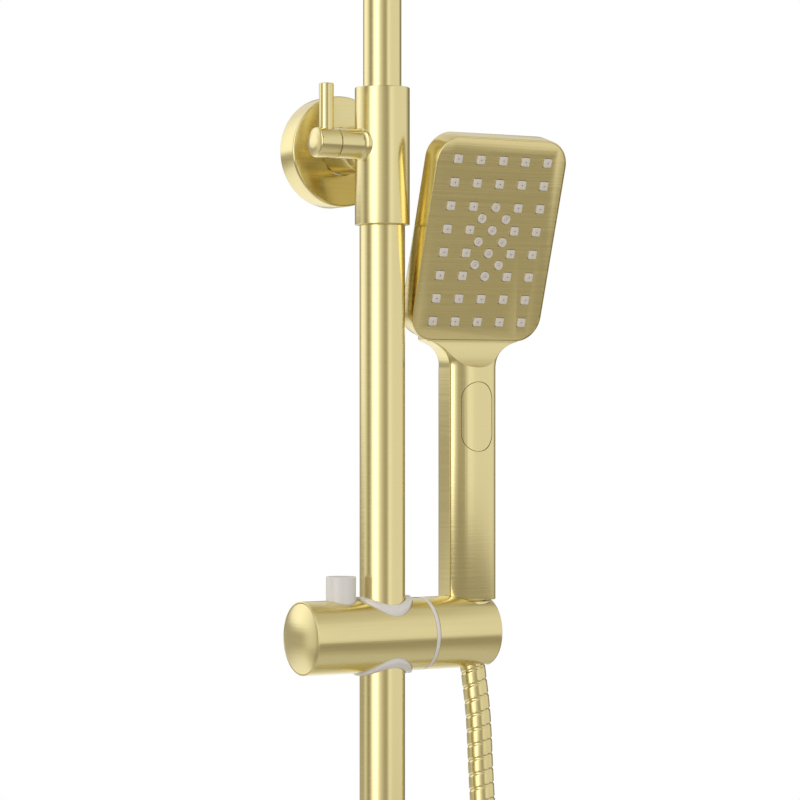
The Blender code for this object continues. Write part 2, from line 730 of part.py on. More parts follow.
def slider_pieces():
    """The sliding clamp: body, end cap, liners, grip ring, release button and brake."""
    axis = at_rail(SLIDER_Z, TO_X)
    rim = 0.0004
    cap_r = SLIDER_R - 0.0012
    body_left = SLIDER_LEFT + CAP_THICKNESS
    profile = [
        (0, SLIDER_RIGHT),
        (SLIDER_R - rim, SLIDER_RIGHT),
        (SLIDER_R, SLIDER_RIGHT - rim),
        (SLIDER_R, SLIDER_LEFT + rim),
        (SLIDER_R - rim, SLIDER_LEFT),
        (cap_r + GAP, SLIDER_LEFT),
        (cap_r + GAP, body_left),
        (0, body_left),
    ]
    body = turned("slider_body", GOLD, profile, axis)
    rail_bore = rod("slider_rail_bore", None, LINER_R + GAP, -0.03, 0.03,
                    at_rail(SLIDER_Z, OFF_FACET))
    cavity = rod("slider_cavity", None, 0.0110, body_left - 0.001, -0.0120, axis @ OFF_FACET, 24)
    button_hole = rod("slider_button_hole", None, BUTTON_R + GAP, -0.0125, 0.03,
                      at(BUTTON_X, RAIL_Y, SLIDER_Z, OFF_FACET), 20)
    axle_bore = rod("slider_axle_bore", None, 0.0043, 0.0120, SLIDER_RIGHT + 0.001, axis, 20)
    cut(body, rail_bore, cavity, button_hole, axle_bore)

    dome = 0.0015
    profile = [
        (0, body_left - GAP),
        (cap_r, body_left - GAP),
        (cap_r, SLIDER_LEFT),
        (cap_r * 0.66, SLIDER_LEFT - dome * 0.56),
        (cap_r * 0.33, SLIDER_LEFT - dome * 0.89),
        (0, SLIDER_LEFT - dome),
    ]
    cap = turned("slider_end_cap", GOLD, profile, axis)
    upper = rail_liner("rail_liner_upper", 1)
    lower = rail_liner("rail_liner_lower", -1)
    grip = ring("rail_grip_ring", RUBBER, RAIL_R + 0.0002, LINER_R - 0.0003, -0.0050, 0.0050,
                at_rail(SLIDER_Z))
    swept = [(0.0, 0.0)]  # the brake shoe's way round the rail as the slider turns
    swept += [(0.03 * cos(radians(a)), 0.03 * sin(radians(a))) for a in range(108, 223, 19)]
    notch = slab("grip_notch", None, swept, -0.0060, 0.0060, at_rail(SLIDER_Z))
    cut(grip, notch)

    button_low = -0.0075
    button = rod("release_button", WHITE_PLASTIC, BUTTON_R, button_low, BUTTON_TOP,
                 at(BUTTON_X, RAIL_Y, SLIDER_Z), 20, 0.0006)
    rod_window = slab("button_window", None, rounded_outline(0.0052, 0.0120, 0.0024, 4), -0.012, 0.012,
                      at(BUTTON_X, RAIL_Y, SLIDER_Z, Matrix.Rotation(pi / 2, 4, "Y")
                         @ Matrix.Rotation(pi / 2, 4, "Z")))
    spring_seat = rod("button_spring_seat", None, 0.0056, button_low - 0.001, -0.0052,
                      at(BUTTON_X, RAIL_Y, SLIDER_Z), 16)
    cut(button, rod_window, spring_seat)
    spring_floor = -0.0122
    spring = coil("button_spring", at(BUTTON_X, RAIL_Y, SLIDER_Z + spring_floor), 0.0042, 0.0005,
                  -0.0052 - GAP - spring_floor, 2.5)

    shoe = slab("brake_shoe", DARK_PLASTIC, rounded_outline(0.0105, 0.0105, 0.0020, 3), -0.0160, -0.0120,
                at_rail(SLIDER_Z, TO_X))
    shoe_rod = rod("shoe_rod", None, 0.0020, -0.0390, -0.0150, axis, 12)
    shoe_collar = rod("shoe_collar", None, 0.0062, -0.0390, -0.0370, axis, 16)
    joined(shoe, shoe_rod, shoe_collar)
    rail_clearance = rod("shoe_curve", None, RAIL_R + GAP, -0.02, 0.02, at_rail(SLIDER_Z))
    cut(shoe, rail_clearance)
    brake_spring = coil("brake_spring", at(body_left, RAIL_Y, SLIDER_Z, TO_X), 0.0042, 0.0005,
                        -0.0390 - GAP - body_left, 3.0)

    hang(empty("rail_axis", (0, RAIL_Y, SLIDER_Z)), grip, body, cap, upper, lower, button, spring,
         shoe, brake_spring)


def holder_pieces():
    """Friction ring, holder with its conical bore, and the screw and spring washer on its axle."""
    axis = at_rail(SLIDER_Z, TO_X)
    ring_left = SLIDER_RIGHT + GAP
    friction = ring("friction_ring", WHITE_PLASTIC, 0.0120, SLIDER_R - 0.0003, ring_left,
                    ring_left + FRICTION_RING_WIDTH, axis)
    edge = 0.0010
    profile = [
        (0, HOLDER_RIGHT),
        (SLIDER_R - 2 * edge, HOLDER_RIGHT - 0.0002),
        (SLIDER_R - 0.6 * edge, HOLDER_RIGHT - 0.5 * edge),
        (SLIDER_R, HOLDER_RIGHT - 1.6 * edge),
        (SLIDER_R, HOLDER_LEFT + 0.0004),
        (SLIDER_R - 0.0004, HOLDER_LEFT),
        (0, HOLDER_LEFT),
    ]
    holder = turned("holder", GOLD, profile, axis)
    place = at(SEAT_X, SEAT_Y, SLIDER_Z)
    bore = turned("holder_bore", None,
                  [(0, 0.022), (BORE_TOP_R, 0.022), (BORE_TOP_R, 0.0145), (BORE_BOTTOM_R, -0.0150),
                   (BORE_BOTTOM_R, -0.022), (0, -0.022)], place)
    slot = slab("holder_slot", None, rounded_outline(0.0300, BORE_SLOT, 0.0002, 1), -0.022, 0.022,
                at(SEAT_X + 0.0150, SEAT_Y, SLIDER_Z))
    seat = slab("holder_seat", None,
                rounded_outline(HANDLE_WIDTH + 2 * GAP + 0.0010, 0.0500, 0.0002, 1),
                SEAT_Z - SLIDER_Z - GAP, 0.030, at(SEAT_X, RAIL_Y, SLIDER_Z))
    axle_space = rod("holder_axle_space", None, 0.0080, HOLDER_LEFT - 0.001, HOLDER_LEFT + 0.0080,
                     axis, 24)
    cut(holder, bore, slot, seat, axle_space)
    axle = rod("holder_axle", STEEL, 0.0040, 0.0175, HOLDER_LEFT + 0.0030, axis, 20)
    head = rod("axle_head", None, 0.0068, HOLDER_LEFT + 0.0025, HOLDER_LEFT + 0.0060, axis, 20)
    joined(axle, head)
    washer = ring("spring_washer", STEEL, 0.0043, 0.0074, HOLDER_LEFT + 0.0006, HOLDER_LEFT + 0.0018,
                  axis, SMALL_SIDES)
    hang(empty("tilt_axis", (HOLDER_LEFT, RAIL_Y, SLIDER_Z)), friction, holder, axle, washer)


# ---- handset ----------------------------------------------------------------------------------
def face_place():
    """Local X is across the spray face, local Y up along it, and local Z out of it."""
    return Matrix.Translation(FACE_CENTRE) @ Matrix.Rotation(pi / 2 + HEAD_TILT, 4, "X")


def handle_outline(width=HANDLE_WIDTH, front=HANDLE_FRONT, back=HANDLE_BACK, steps=5):
    """The handle's section: a gently bulged front, rounder front corners and flat sides."""
    half = width / 2
    points = []
    corners = (
        (-half + HANDLE_FRONT_CORNER, front + HANDLE_FRONT_CORNER, HANDLE_FRONT_CORNER, pi),
        (half - HANDLE_FRONT_CORNER, front + HANDLE_FRONT_CORNER, HANDLE_FRONT_CORNER, 1.5 * pi),
        (half - HANDLE_BACK_CORNER, back - HANDLE_BACK_CORNER, HANDLE_BACK_CORNER, 0),
        (-half + HANDLE_BACK_CORNER, back - HANDLE_BACK_CORNER, HANDLE_BACK_CORNER, 0.5 * pi),
    )
    for x, y, radius, start in corners:
        for i in range(steps + 1):
            angle = start + i / steps * pi / 2
            points.append((x + radius * cos(angle), y + radius * sin(angle)))
        if start == pi:
            points += [(x * share, front) for share in (0.5, 0, -0.5)]
    bulged = []
    for x, y in points:
        ahead = max(0.0, 1 - (y - front) / HANDLE_FRONT_CORNER)
        bulged.append((x, y + HANDLE_BULGE * ahead * (x / half) ** 2))
    return bulged


def handset_shell():
    """Handle and head in one casting, hollowed for the waterway and the spray plate."""
    head_bottom = FACE_CENTRE.z - HEAD_HEIGHT / 2 * cos(HEAD_TILT)
    handle = slab("handset_body", GOLD, handle_outline(), SEAT_Z, head_bottom - 0.0100,
                  at(SEAT_X, RAIL_Y, 0), 0.0004)
    head = slab("head_block", None, rounded_outline(HEAD_WIDTH, HEAD_HEIGHT, HEAD_CORNER, 6),
                -HEAD_DEPTH, 0, face_place(), 0.0006)
    neck = neck_block(head_bottom)
    recess = slab("face_recess", None,
                  rounded_outline(HEAD_WIDTH - PLATE_INSET, HEAD_HEIGHT - PLATE_INSET,
                                  HEAD_CORNER - PLATE_INSET / 2, 6),
                  -0.0105, 0.002, face_place())
    waterway = rod("handle_waterway", None, INLET_R + GAP, SEAT_Z - 0.001, SEAT_Z + 0.0180,
                   at(SEAT_X, SEAT_Y, 0), 24)
    bore = rod("handle_bore", None, WATERWAY_R + GAP, SEAT_Z + 0.0170, -0.0980,
               at(SEAT_X, RAIL_Y + WATERWAY_BACK, 0), 16)
    pocket = slab("mode_pocket", None,
                  rounded_outline(MODE_WIDTH + 2 * GAP, MODE_HEIGHT + 2 * GAP, MODE_WIDTH / 2 - 0.0004, 8),
                  MODE_POCKET_FLOOR, 0.02,
                  at(SEAT_X, RAIL_Y, MODE_Z, Matrix.Rotation(pi / 2, 4, "X")))
    joined(handle, neck, head)
    cut(handle, recess, waterway, bore, pocket)
    return handle


def neck_block(head_bottom):
    """A loft that flares from the handle to the bottom of the head, with a scooped front."""
    work = bmesh.new()
    sections = []
    steps = 7
    start = head_bottom - NECK_HEIGHT + 0.0020
    rise = NECK_HEIGHT + 0.0060
    for i in range(steps + 1):
        t = i / steps
        z = start + rise * t
        flare = min(1.0, max(0.0, (z - start) / NECK_HEIGHT))
        width = HANDLE_WIDTH - 0.0004 + (HEAD_WIDTH * 0.88 - HANDLE_WIDTH) * (1 - sqrt(1 - flare**2))
        scoop = 0.0022 * sin(pi * flare) + 0.0046 * flare
        front = HANDLE_FRONT + 0.0010 + scoop
        back = HANDLE_BACK - 0.0004 - 0.0030 * t
        verts = [
            work.verts.new((SEAT_X + u, RAIL_Y + v, z))
            for u, v in handle_outline(width, front, back, 3)
        ]
        sections.append(verts)
    count = len(sections[0])
    for lower, upper in zip(sections, sections[1:]):
        for i in range(count):
            j = (i + 1) % count
            work.faces.new((lower[i], lower[j], upper[j], upper[i]))
    work.faces.new(list(reversed(sections[0])))
    work.faces.new(sections[-1])
    bmesh.ops.recalc_face_normals(work, faces=work.faces)
    mesh = bpy.data.meshes.new("neck_block")
    work.to_mesh(mesh)
    work.free()
    return add_mesh("neck_block", mesh)


def nozzle_places():
    """Centres of the handset's nozzles on its face, each with True where it is round."""
    places = []
    middle = (NOZZLE_COLUMNS - 1) / 2
    for row in range(NOZZLE_ROWS):
        for column in range(NOZZLE_COLUMNS):
            u = (column - middle) * NOZZLE_COLUMN_PITCH
            v = ((NOZZLE_ROWS - 1) / 2 - row) * NOZZLE_ROW_PITCH - NOZZLE_DROP
            places.append((u, v, column == middle and 2 <= row <= 5))
    for half_row in (2.5, 3.5, 4.5):
        for side in (-1, 1):
            v = ((NOZZLE_ROWS - 1) / 2 - half_row) * NOZZLE_ROW_PITCH - NOZZLE_DROP
            places.append((side * 0.0079, v, True))
    return places


def spray_face():
    """The spray plate with its holes, and the soft nozzle mat that shows through them."""
    place = face_place()
    inset = PLATE_INSET + 2 * GAP
    outline = rounded_outline(HEAD_WIDTH - inset, HEAD_HEIGHT - inset, HEAD_CORNER - inset / 2, 6)
    plate_low, plate_high = -0.0022, -0.0002
    plate = slab("spray_plate", GOLD, outline, plate_low, plate_high, place)
    mat_high = plate_low - GAP
    mat_low = mat_high - 0.0012
    mat = slab("nozzle_mat", SILICONE,
               rounded_outline(HEAD_WIDTH - 0.0060, HEAD_HEIGHT - 0.0060, HEAD_CORNER - 0.0030, 4),
               mat_low, mat_high, place)
    holes = bmesh.new()
    nubs = bmesh.new()
    for u, v, is_round in nozzle_places():
        sides = 10 if is_round else 4
        size = NOZZLE_ROUND_R if is_round else NOZZLE_SQUARE / sqrt(2)
        turn = Matrix.Rotation(0 if is_round else pi / 4, 4, "Z")
        for mesh, radius, low, high in (
            (holes, size + GAP, plate_low - 0.001, plate_high + 0.001),
            (nubs, size, mat_high - 0.0006, plate_high + NOZZLE_PROUD),
        ):
            where = place @ Matrix.Translation((u, v, (low + high) / 2)) @ turn
            bmesh.ops.create_cone(mesh, cap_ends=True, segments=sides, radius1=radius,
                                  radius2=radius, depth=high - low, matrix=where)
    hole_mesh = bpy.data.meshes.new("spray_holes")
    nub_mesh = bpy.data.meshes.new("spray_nubs")
    holes.to_mesh(hole_mesh)
    nubs.to_mesh(nub_mesh)
    holes.free()
    nubs.free()
    cut(plate, add_mesh("spray_holes", hole_mesh))
    joined(mat, add_mesh("spray_nubs", nub_mesh))
    return plate, mat


def handset_pieces():
    """Everything that lifts off with the handset, down to the cone nut on its hose."""
    shell = handset_shell()
    plate, mat = spray_face()
    front = at(SEAT_X, RAIL_Y, MODE_Z, Matrix.Rotation(pi / 2, 4, "X"))
    button = slab("mode_button", GOLD,
                  rounded_outline(MODE_WIDTH, MODE_HEIGHT, MODE_WIDTH / 2 - 0.0004, 8),
                  MODE_POCKET_FLOOR + 0.0028, -HANDLE_FRONT - 0.0003, front, 0.0006)
    button_spring = coil("mode_spring", front @ Matrix.Translation((0, 0, MODE_POCKET_FLOOR + GAP)),
                         0.0045, 0.0004, 0.0028 - 2 * GAP, 1.5)
    tube_top = -0.1150
    waterway = ring("inner_waterway", WHITE_PLASTIC, 0.0034, WATERWAY_R, SEAT_Z + 0.0175, tube_top,
                    at(SEAT_X, RAIL_Y + WATERWAY_BACK, 0), 16)
    nipple_low = SLIDER_Z + 0.0030
    nipple = turned("handset_inlet", BRASS,
                    [(0.0060, SEAT_Z + 0.0165), (INLET_R, SEAT_Z + 0.0165), (INLET_R, nipple_low),
                     (0.0060, nipple_low)],
                    at(SEAT_X, SEAT_Y, 0), 24, closed=True)
    washer = ring("hose_washer", RUBBER, 0.0050, INLET_R - 0.0001, nipple_low - GAP - 0.0020, nipple_low - GAP,
                  at(SEAT_X, SEAT_Y, 0), SMALL_SIDES)
    floor = nipple_low - 2 * GAP - 0.0020
    slope = (BORE_TOP_R - BORE_BOTTOM_R) / 0.0295
    nut_top = SLIDER_Z + 0.0145
    top_r = BORE_TOP_R - GAP - 0.0002
    bottom_r = top_r - slope * (nut_top - NUT_BOTTOM)
    nut = turned("hose_cone_nut", GOLD,
                 [(INLET_R + GAP, nut_top), (top_r, nut_top), (bottom_r, NUT_BOTTOM),
                  (0.0045, NUT_BOTTOM), (0.0045, floor), (INLET_R + GAP, floor)],
                 at(SEAT_X, SEAT_Y, 0), 24, closed=True)
    hang(empty("lift_axis", (SEAT_X, RAIL_Y, SEAT_Z)), shell, plate, mat, waterway, nipple, washer,
         nut, button, button_spring)


# ---- hose -------------------------------------------------------------------------------------
HOSE_ROUTE = [
    (0.0577, 0.0004, NUT_BOTTOM - 0.0012),
    (0.0584, -0.0003, -0.2850),
    (0.0593, -0.0014, -0.2960),
    (0.0602, -0.0030, -0.3100),
    (0.0607, -0.0042, -0.3250),
    (0.0610, -0.0071, -0.3622),
    (0.0612, -0.0160, -0.4300),
    (0.0615, -0.0330, -0.5150),
    (0.0635, -0.0500, -0.6100),
    (0.0655, -0.0690, -0.7200),
    (0.0660, -0.0890, -0.8400),
    (0.0645, -0.1050, -0.9500),
    (0.0600, -0.1130, -1.0500),
    (0.0520, -0.1070, -1.1200),
    (0.0400, -0.0850, -1.1775),
    (0.0260, -0.0520, -1.2000),
    (0.0130, -0.0200, -1.1775),
    (0.0040, -0.0020, -1.1200),
    (0.0008, 0.0010, -1.0500),
    (0.0000, 0.0000, -0.9900),
    (0.0000, 0.0000, -0.9360),
]
HOSE_CUTS = (0.095, 0.205, 0.340)  # lengths from the handset where one stretch hands over to the next


def hose_pieces():
    """The flexible hose in four stretches that meet face to face, and the nut at its lower end."""
    route = [Vector((x, RAIL_Y + y, z)) for x, y, z in HOSE_ROUTE]
    fine = smooth_route(route, 0.001)
    bounds = (0.0,) + HOSE_CUTS + (0.001 * (len(fine) - 1),)
    names = ("hose_top", "hose_tilt", "hose_turn", "hose_main")
    for name, start, end in zip(names, bounds, bounds[1:], strict=False):
        first = round(start * 1000)
        last = min(round(end * 1000), len(fine) - 1)
        stretch = fine[first : last + 1]
        along = (stretch[1] - stretch[0]).normalized()
        if name != "hose_top":
            stretch[0] = stretch[0] + along * GAP
        spacing = 0.034 if name == "hose_main" else 0.016
        tube(name, GOLD, smooth_route(stretch[:1] + stretch[8:-8:8] + stretch[-1:], spacing), HOSE_R, 3)
    nut_low = -0.9360 + GAP
    lower_bottom = LOWER_Z - LOWER_BODY_HALF
    hex_ring("hose_hex_nut", GOLD, 0.0108, 0.0138, lower_bottom - 0.0132 - 0.0025, lower_bottom - GAP,
             at_rail())
    ring("hose_lower_washer", RUBBER, 0.0050, 0.0103, lower_bottom - 0.0133 - 0.0022,
         lower_bottom - 0.0133, at_rail(), SMALL_SIDES)
    ring("hose_lower_ferrule", GOLD, 0.0045, 0.0095, nut_low, lower_bottom - 0.0132 - 0.0025 - GAP,
         at_rail(), 24)


upper_arm_pieces()
diverter_body()
diverter_pieces()
rail_and_lower_arm()
gooseneck()
rain_head()
slider_pieces()
holder_pieces()
handset_pieces()
hose_pieces()
bpy.context.view_layer.update()
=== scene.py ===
from math import acos, cos, pi, radians, sin, sqrt

import bmesh
import bpy
from mathutils import Matrix, Vector


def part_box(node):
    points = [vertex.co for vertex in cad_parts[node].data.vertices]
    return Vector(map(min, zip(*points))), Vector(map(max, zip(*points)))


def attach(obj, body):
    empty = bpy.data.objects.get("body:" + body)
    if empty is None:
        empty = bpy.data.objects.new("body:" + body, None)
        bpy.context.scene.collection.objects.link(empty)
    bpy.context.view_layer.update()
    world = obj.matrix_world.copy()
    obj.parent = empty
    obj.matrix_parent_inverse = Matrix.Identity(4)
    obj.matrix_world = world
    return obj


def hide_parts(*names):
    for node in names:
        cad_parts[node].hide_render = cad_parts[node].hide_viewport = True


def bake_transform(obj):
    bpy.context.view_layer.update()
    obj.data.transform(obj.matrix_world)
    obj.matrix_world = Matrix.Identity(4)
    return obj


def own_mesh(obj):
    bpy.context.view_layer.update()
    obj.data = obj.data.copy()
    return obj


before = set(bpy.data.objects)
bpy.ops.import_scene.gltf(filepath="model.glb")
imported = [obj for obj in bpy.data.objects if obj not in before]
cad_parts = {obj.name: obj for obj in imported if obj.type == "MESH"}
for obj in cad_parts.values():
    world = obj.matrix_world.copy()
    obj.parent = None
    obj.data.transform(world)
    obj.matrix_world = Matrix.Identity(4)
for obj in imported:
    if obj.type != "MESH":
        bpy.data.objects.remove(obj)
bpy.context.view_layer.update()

# ---- the CAD's own places, in metres ----------------------------------------------------------
GAP = 0.0003
RAIL_Y = -0.0592
RAIL_R = 0.0125
RISER_R = 0.0105
FLANGE_R = 0.0312
FLANGE_DEPTH = 0.0152
ARM_R = 0.0132
ARM_SEAM = 0.0200
BODY_R = 0.0151
BODY_TOP = 0.0318
BODY_BOTTOM = -0.0437
HANDLE_R = 0.0082
HANDLE_SEAM = -0.0300
HANDLE_END = -0.0428
LEVER_R = 0.0040
LEVER_X = -0.0355
LEVER_TOP = 0.0324
LOWER_Z = -0.8800
LOWER_HALF = 0.0300
LOWER_FLANGE_R = 0.0280
LOWER_BOSS_R = 0.0105
GOOSENECK_TOP = 0.3600
GOOSENECK_REACH = 0.3800
GOOSENECK_BEND = 0.0700
GOOSENECK_END = 0.3080
FRONT_Y = RAIL_Y - GOOSENECK_REACH
BALL_Z = 0.2960
BALL_R = 0.0100
RAIN_R = 0.1250
RAIN_TOP = 0.2800
SLIDER_Z = -0.2689
SLIDER_R = 0.0201
SLIDER_LEFT = -0.0511
SLIDER_RIGHT = 0.0232
CAP_R = SLIDER_R - 0.0009
LINER_R = 0.0163
LINER_PROUD = 0.0014
BUTTON_X = -0.0263
BUTTON_R = 0.0082
BUTTON_TOP = 0.0330
HOLDER_LEFT = 0.0256
HOLDER_RIGHT = 0.0668
SEAT_X = 0.0577
SEAT_Y = RAIL_Y + 0.0004
SEAT_Z = SLIDER_Z + 0.0174
BORE_TOP_R = 0.0131
BORE_BOTTOM_R = 0.0098
BORE_SLOT = 0.0152
HANDLE_WIDTH = 0.0304
HANDLE_BACK = 0.0117
HANDLE_FRONT = -0.0086
BACK_CORNER = 0.0030
HEAD_TILT = radians(16.7)
HEAD_WIDTH = 0.0850
HEAD_HEIGHT = 0.1155
HEAD_CORNER = 0.0145
HEAD_DEPTH = 0.0150
FACE_CENTRE = Vector((SEAT_X, RAIL_Y - 0.0201, -0.0516))
COLUMN_PITCH = 0.0147
ROW_PITCH = 0.0131
NOZZLE_DROP = 0.0006
MODE_Z = -0.1490
MODE_WIDTH = 0.0200
MODE_HEIGHT = 0.0385
HOSE_R = 0.0070
HOSE_CUTS = (0.095, 0.205, 0.340)
HOSE_ROUTE = [
    (0.0577, 0.0004, -0.2751),
    (0.0584, -0.0003, -0.2850),
    (0.0593, -0.0014, -0.2960),
    (0.0602, -0.0030, -0.3100),
    (0.0607, -0.0042, -0.3250),
    (0.0610, -0.0071, -0.3622),
    (0.0612, -0.0160, -0.4300),
    (0.0615, -0.0330, -0.5150),
    (0.0635, -0.0500, -0.6100),
    (0.0655, -0.0690, -0.7200),
    (0.0660, -0.0890, -0.8400),
    (0.0645, -0.1050, -0.9500),
    (0.0600, -0.1130, -1.0500),
    (0.0520, -0.1070, -1.1200),
    (0.0400, -0.0850, -1.1775),
    (0.0260, -0.0520, -1.2000),
    (0.0130, -0.0200, -1.1775),
    (0.0040, -0.0020, -1.1200),
    (0.0008, 0.0010, -1.0500),
    (0.0000, 0.0000, -0.9900),
    (0.0000, 0.0000, -0.9360),
]
HOSE_PITCH = 0.0082

# ---- camera ----------------------------------------------------------------------------------
CAMERA_TURN = radians(-31.52)
ahead = Vector((-sin(CAMERA_TURN), cos(CAMERA_TURN), 0))
across = Vector((cos(CAMERA_TURN), sin(CAMERA_TURN), 0))
camera = bpy.data.objects.new("camera", bpy.data.cameras.new("camera"))
bpy.context.scene.collection.objects.link(camera)
camera.data.lens = 130.47
camera.data.sensor_width = 36.0
camera.data.clip_end = 50.0
camera.location = Vector((0, RAIL_Y, -0.13974)) - ahead * 1.59315 + across * 0.00973
camera.rotation_euler = (pi / 2, 0, CAMERA_TURN)
bpy.context.scene.camera = camera
bpy.context.scene.view_settings.view_transform = "Standard"
bpy.context.scene.view_settings.look = "None"


# ---- materials -------------------------------------------------------------------------------
def shader(name, colour, roughness, metallic):
    """A new material, its node tree and its Principled shader."""
    made = bpy.data.materials.new(name)
    made.use_nodes = True
    tree = made.node_tree
    core = tree.nodes["Principled BSDF"]
    core.inputs["Base Color"].default_value = (*colour, 1)
    core.inputs["Roughness"].default_value = roughness
    core.inputs["Metallic"].default_value = metallic
    return made, tree, core


def noise(tree, scale, detail=2.0, roughness=0.5, stretch=(1, 1, 1)):
    """Noise in the object's own metres, stretched along its axes."""
    place = tree.nodes.new("ShaderNodeTexCoord")
    turn = tree.nodes.new("ShaderNodeMapping")
    turn.inputs["Scale"].default_value = stretch
    grain = tree.nodes.new("ShaderNodeTexNoise")
    grain.inputs["Scale"].default_value = scale
    grain.inputs["Detail"].default_value = detail
    grain.inputs["Roughness"].default_value = roughness
    tree.links.new(place.outputs["Object"], turn.inputs["Vector"])
    tree.links.new(turn.outputs["Vector"], grain.inputs["Vector"])
    return grain.outputs["Fac"]


def spread(tree, value, low, high):
    """Maps a 0-1 value to a range."""
    node = tree.nodes.new("ShaderNodeMapRange")
    node.inputs["From Min"].default_value = 0.3
    node.inputs["From Max"].default_value = 0.7
    node.inputs["To Min"].default_value = low
    node.inputs["To Max"].default_value = high
    tree.links.new(value, node.inputs["Value"])
    return node.outputs["Result"]


def tinted(tree, value, first, second):
    """Mixes two colours by a value."""
    node = tree.nodes.new("ShaderNodeMix")
    node.data_type = "RGBA"
    node.inputs["A"].default_value = (*first, 1)
    node.inputs["B"].default_value = (*second, 1)
    tree.links.new(value, node.inputs["Factor"])
    return node.outputs["Result"]


def bumped(tree, core, value, strength, distance):
    node = tree.nodes.new("ShaderNodeBump")
    node.inputs["Strength"].default_value = strength
    node.inputs["Distance"].default_value = distance
    tree.links.new(value, node.inputs["Height"])
    tree.links.new(node.outputs["Normal"], core.inputs["Normal"])


def brushed(name, colour, roughness, grain=1.0, shade=0.05):
    """Metal with a fine level grain, as if brushed round the tubes and across the flats."""
    made, tree, core = shader(name, colour, roughness, 1.0)
    lines = noise(tree, 1.0, 3.0, 0.6, (14, 14, 1300))
    cloud = noise(tree, 35.0, 2.0)
    tree.links.new(spread(tree, lines, roughness * (1 - 0.18 * grain), roughness * (1 + 0.18 * grain)),
                   core.inputs["Roughness"])
    dark = tuple(c * (1 - shade) for c in colour)
    light = tuple(min(1.0, c * (1 + shade * 0.6)) for c in colour)
    both = tree.nodes.new("ShaderNodeMath")
    both.operation = "MULTIPLY_ADD"
    both.inputs[1].default_value = 0.25
    tree.links.new(cloud, both.inputs[0])
    tree.links.new(spread(tree, lines, 0.1, 0.7), both.inputs[2])
    tree.links.new(tinted(tree, both.outputs[0], dark, light), core.inputs["Base Color"])
    bumped(tree, core, lines, 0.05 * grain, 0.0004)
    return made


def moulded(name, colour, roughness, scale=900.0, strength=0.04, shade=0.03, coat=0.0):
    """Plastic, silicone or rubber with a faint moulded grain."""
    made, tree, core = shader(name, colour, roughness, 0.0)
    fine = noise(tree, scale, 3.0)
    soft = noise(tree, 60.0, 2.0)
    dark = tuple(c * (1 - shade) for c in colour)
    tree.links.new(tinted(tree, soft, dark, colour), core.inputs["Base Color"])
    tree.links.new(spread(tree, soft, roughness * 0.9, roughness * 1.1), core.inputs["Roughness"])
    core.inputs["Coat Weight"].default_value = coat
    bumped(tree, core, fine, strength, 0.0002)
    return made


GOLD = brushed("brushed_gold", (0.805, 0.700, 0.360), 0.20)
# Face plates: the gold made a little lighter and warmer, painted light on the spray faces; the coarser
# grain is their own brushing.
PLATE_GOLD_PAINTED_LIGHT = brushed("plate_gold_painted_light", (0.840, 0.720, 0.365), 0.24, 1.2, 0.06)
# Hose: a darker copy of the gold, painted shade for the dark ground it reflects; the finer grain is the
# hose's own.
HOSE_GOLD_PAINTED_SHADE = brushed("hose_gold_painted_shade", (0.760, 0.655, 0.330), 0.24, 0.6)
# Seam ring: polished (low roughness) and lighter than the gold; the lighter colour is a painted
# highlight along the arm's seam.
POLISHED_GOLD_PAINTED_HIGHLIGHT = brushed("bright_gold", (0.880, 0.800, 0.520), 0.07, 0.3)
BRASS = brushed("raw_brass", (0.720, 0.540, 0.240), 0.32, 1.2)
STEEL = brushed("steel", (0.600, 0.600, 0.590), 0.30, 1.0)
WHITE = moulded("white_plastic", (0.820, 0.795, 0.785), 0.32, 700.0, 0.02, 0.02, 0.15)
DARK = moulded("dark_plastic", (0.045, 0.045, 0.047), 0.48)
SILICONE = moulded("silicone", (0.800, 0.750, 0.690), 0.48, 1200.0, 0.05, 0.04)
# Painted shade: a dark brown-grey for small discs at the bottoms of the nozzle pits, standing in for the
# shade inside each opening.
NOZZLE_PAINTED_SHADE = moulded("nozzle_hole_painted_shade", (0.330, 0.290, 0.240), 0.60)
RUBBER = moulded("rubber", (0.030, 0.030, 0.032), 0.62, 800.0, 0.10)


# ---- mesh helpers ----------------------------------------------------------------------------
def at(x, y, z, turn=None):
    return Matrix.Translation((x, y, z)) @ (turn or Matrix.Identity(4))


def at_rail(z=0.0, turn=None):
    return at(0, RAIL_Y, z, turn)


TO_X = Matrix.Rotation(pi / 2, 4, "Y")
TO_LEFT = Matrix.Rotation(-pi / 2, 4, "Y")
TO_WALL = Matrix.Rotation(-pi / 2, 4, "X")
TO_FRONT = Matrix.Rotation(pi / 2, 4, "X")


def eased(corners, closed=False, steps=4):
    """Profile corners (r, z, reach): a reach rounds the corner off over that distance."""
    out = []
    count = len(corners)
    for i, corner in enumerate(corners):
        point = Vector(corner[:2])
        reach = corner[2] if len(corner) > 2 else 0
        if not reach or (not closed and i in (0, count - 1)):
            out.append(point)
            continue
        before = Vector(corners[i - 1][:2]) - point
        after = Vector(corners[(i + 1) % count][:2]) - point
        reach = min(reach, before.length * 0.49, after.length * 0.49)
        before.normalize()
        after.normalize()
        for step in range(steps + 1):
            t = step / steps
            out.append(point + before * reach * (1 - t) ** 2 + after * reach * t**2)
    return out


def raw(name, verts, faces):
    mesh = bpy.data.meshes.new(name)
    mesh.from_pydata([tuple(v) for v in verts], [], faces)
    work = bmesh.new()
    work.from_mesh(mesh)
    bmesh.ops.remove_doubles(work, verts=work.verts, dist=1e-6)
    bmesh.ops.recalc_face_normals(work, faces=work.faces)
    work.to_mesh(mesh)
    work.free()
    made = bpy.data.objects.new(name, mesh)
    bpy.context.scene.collection.objects.link(made)
    return made


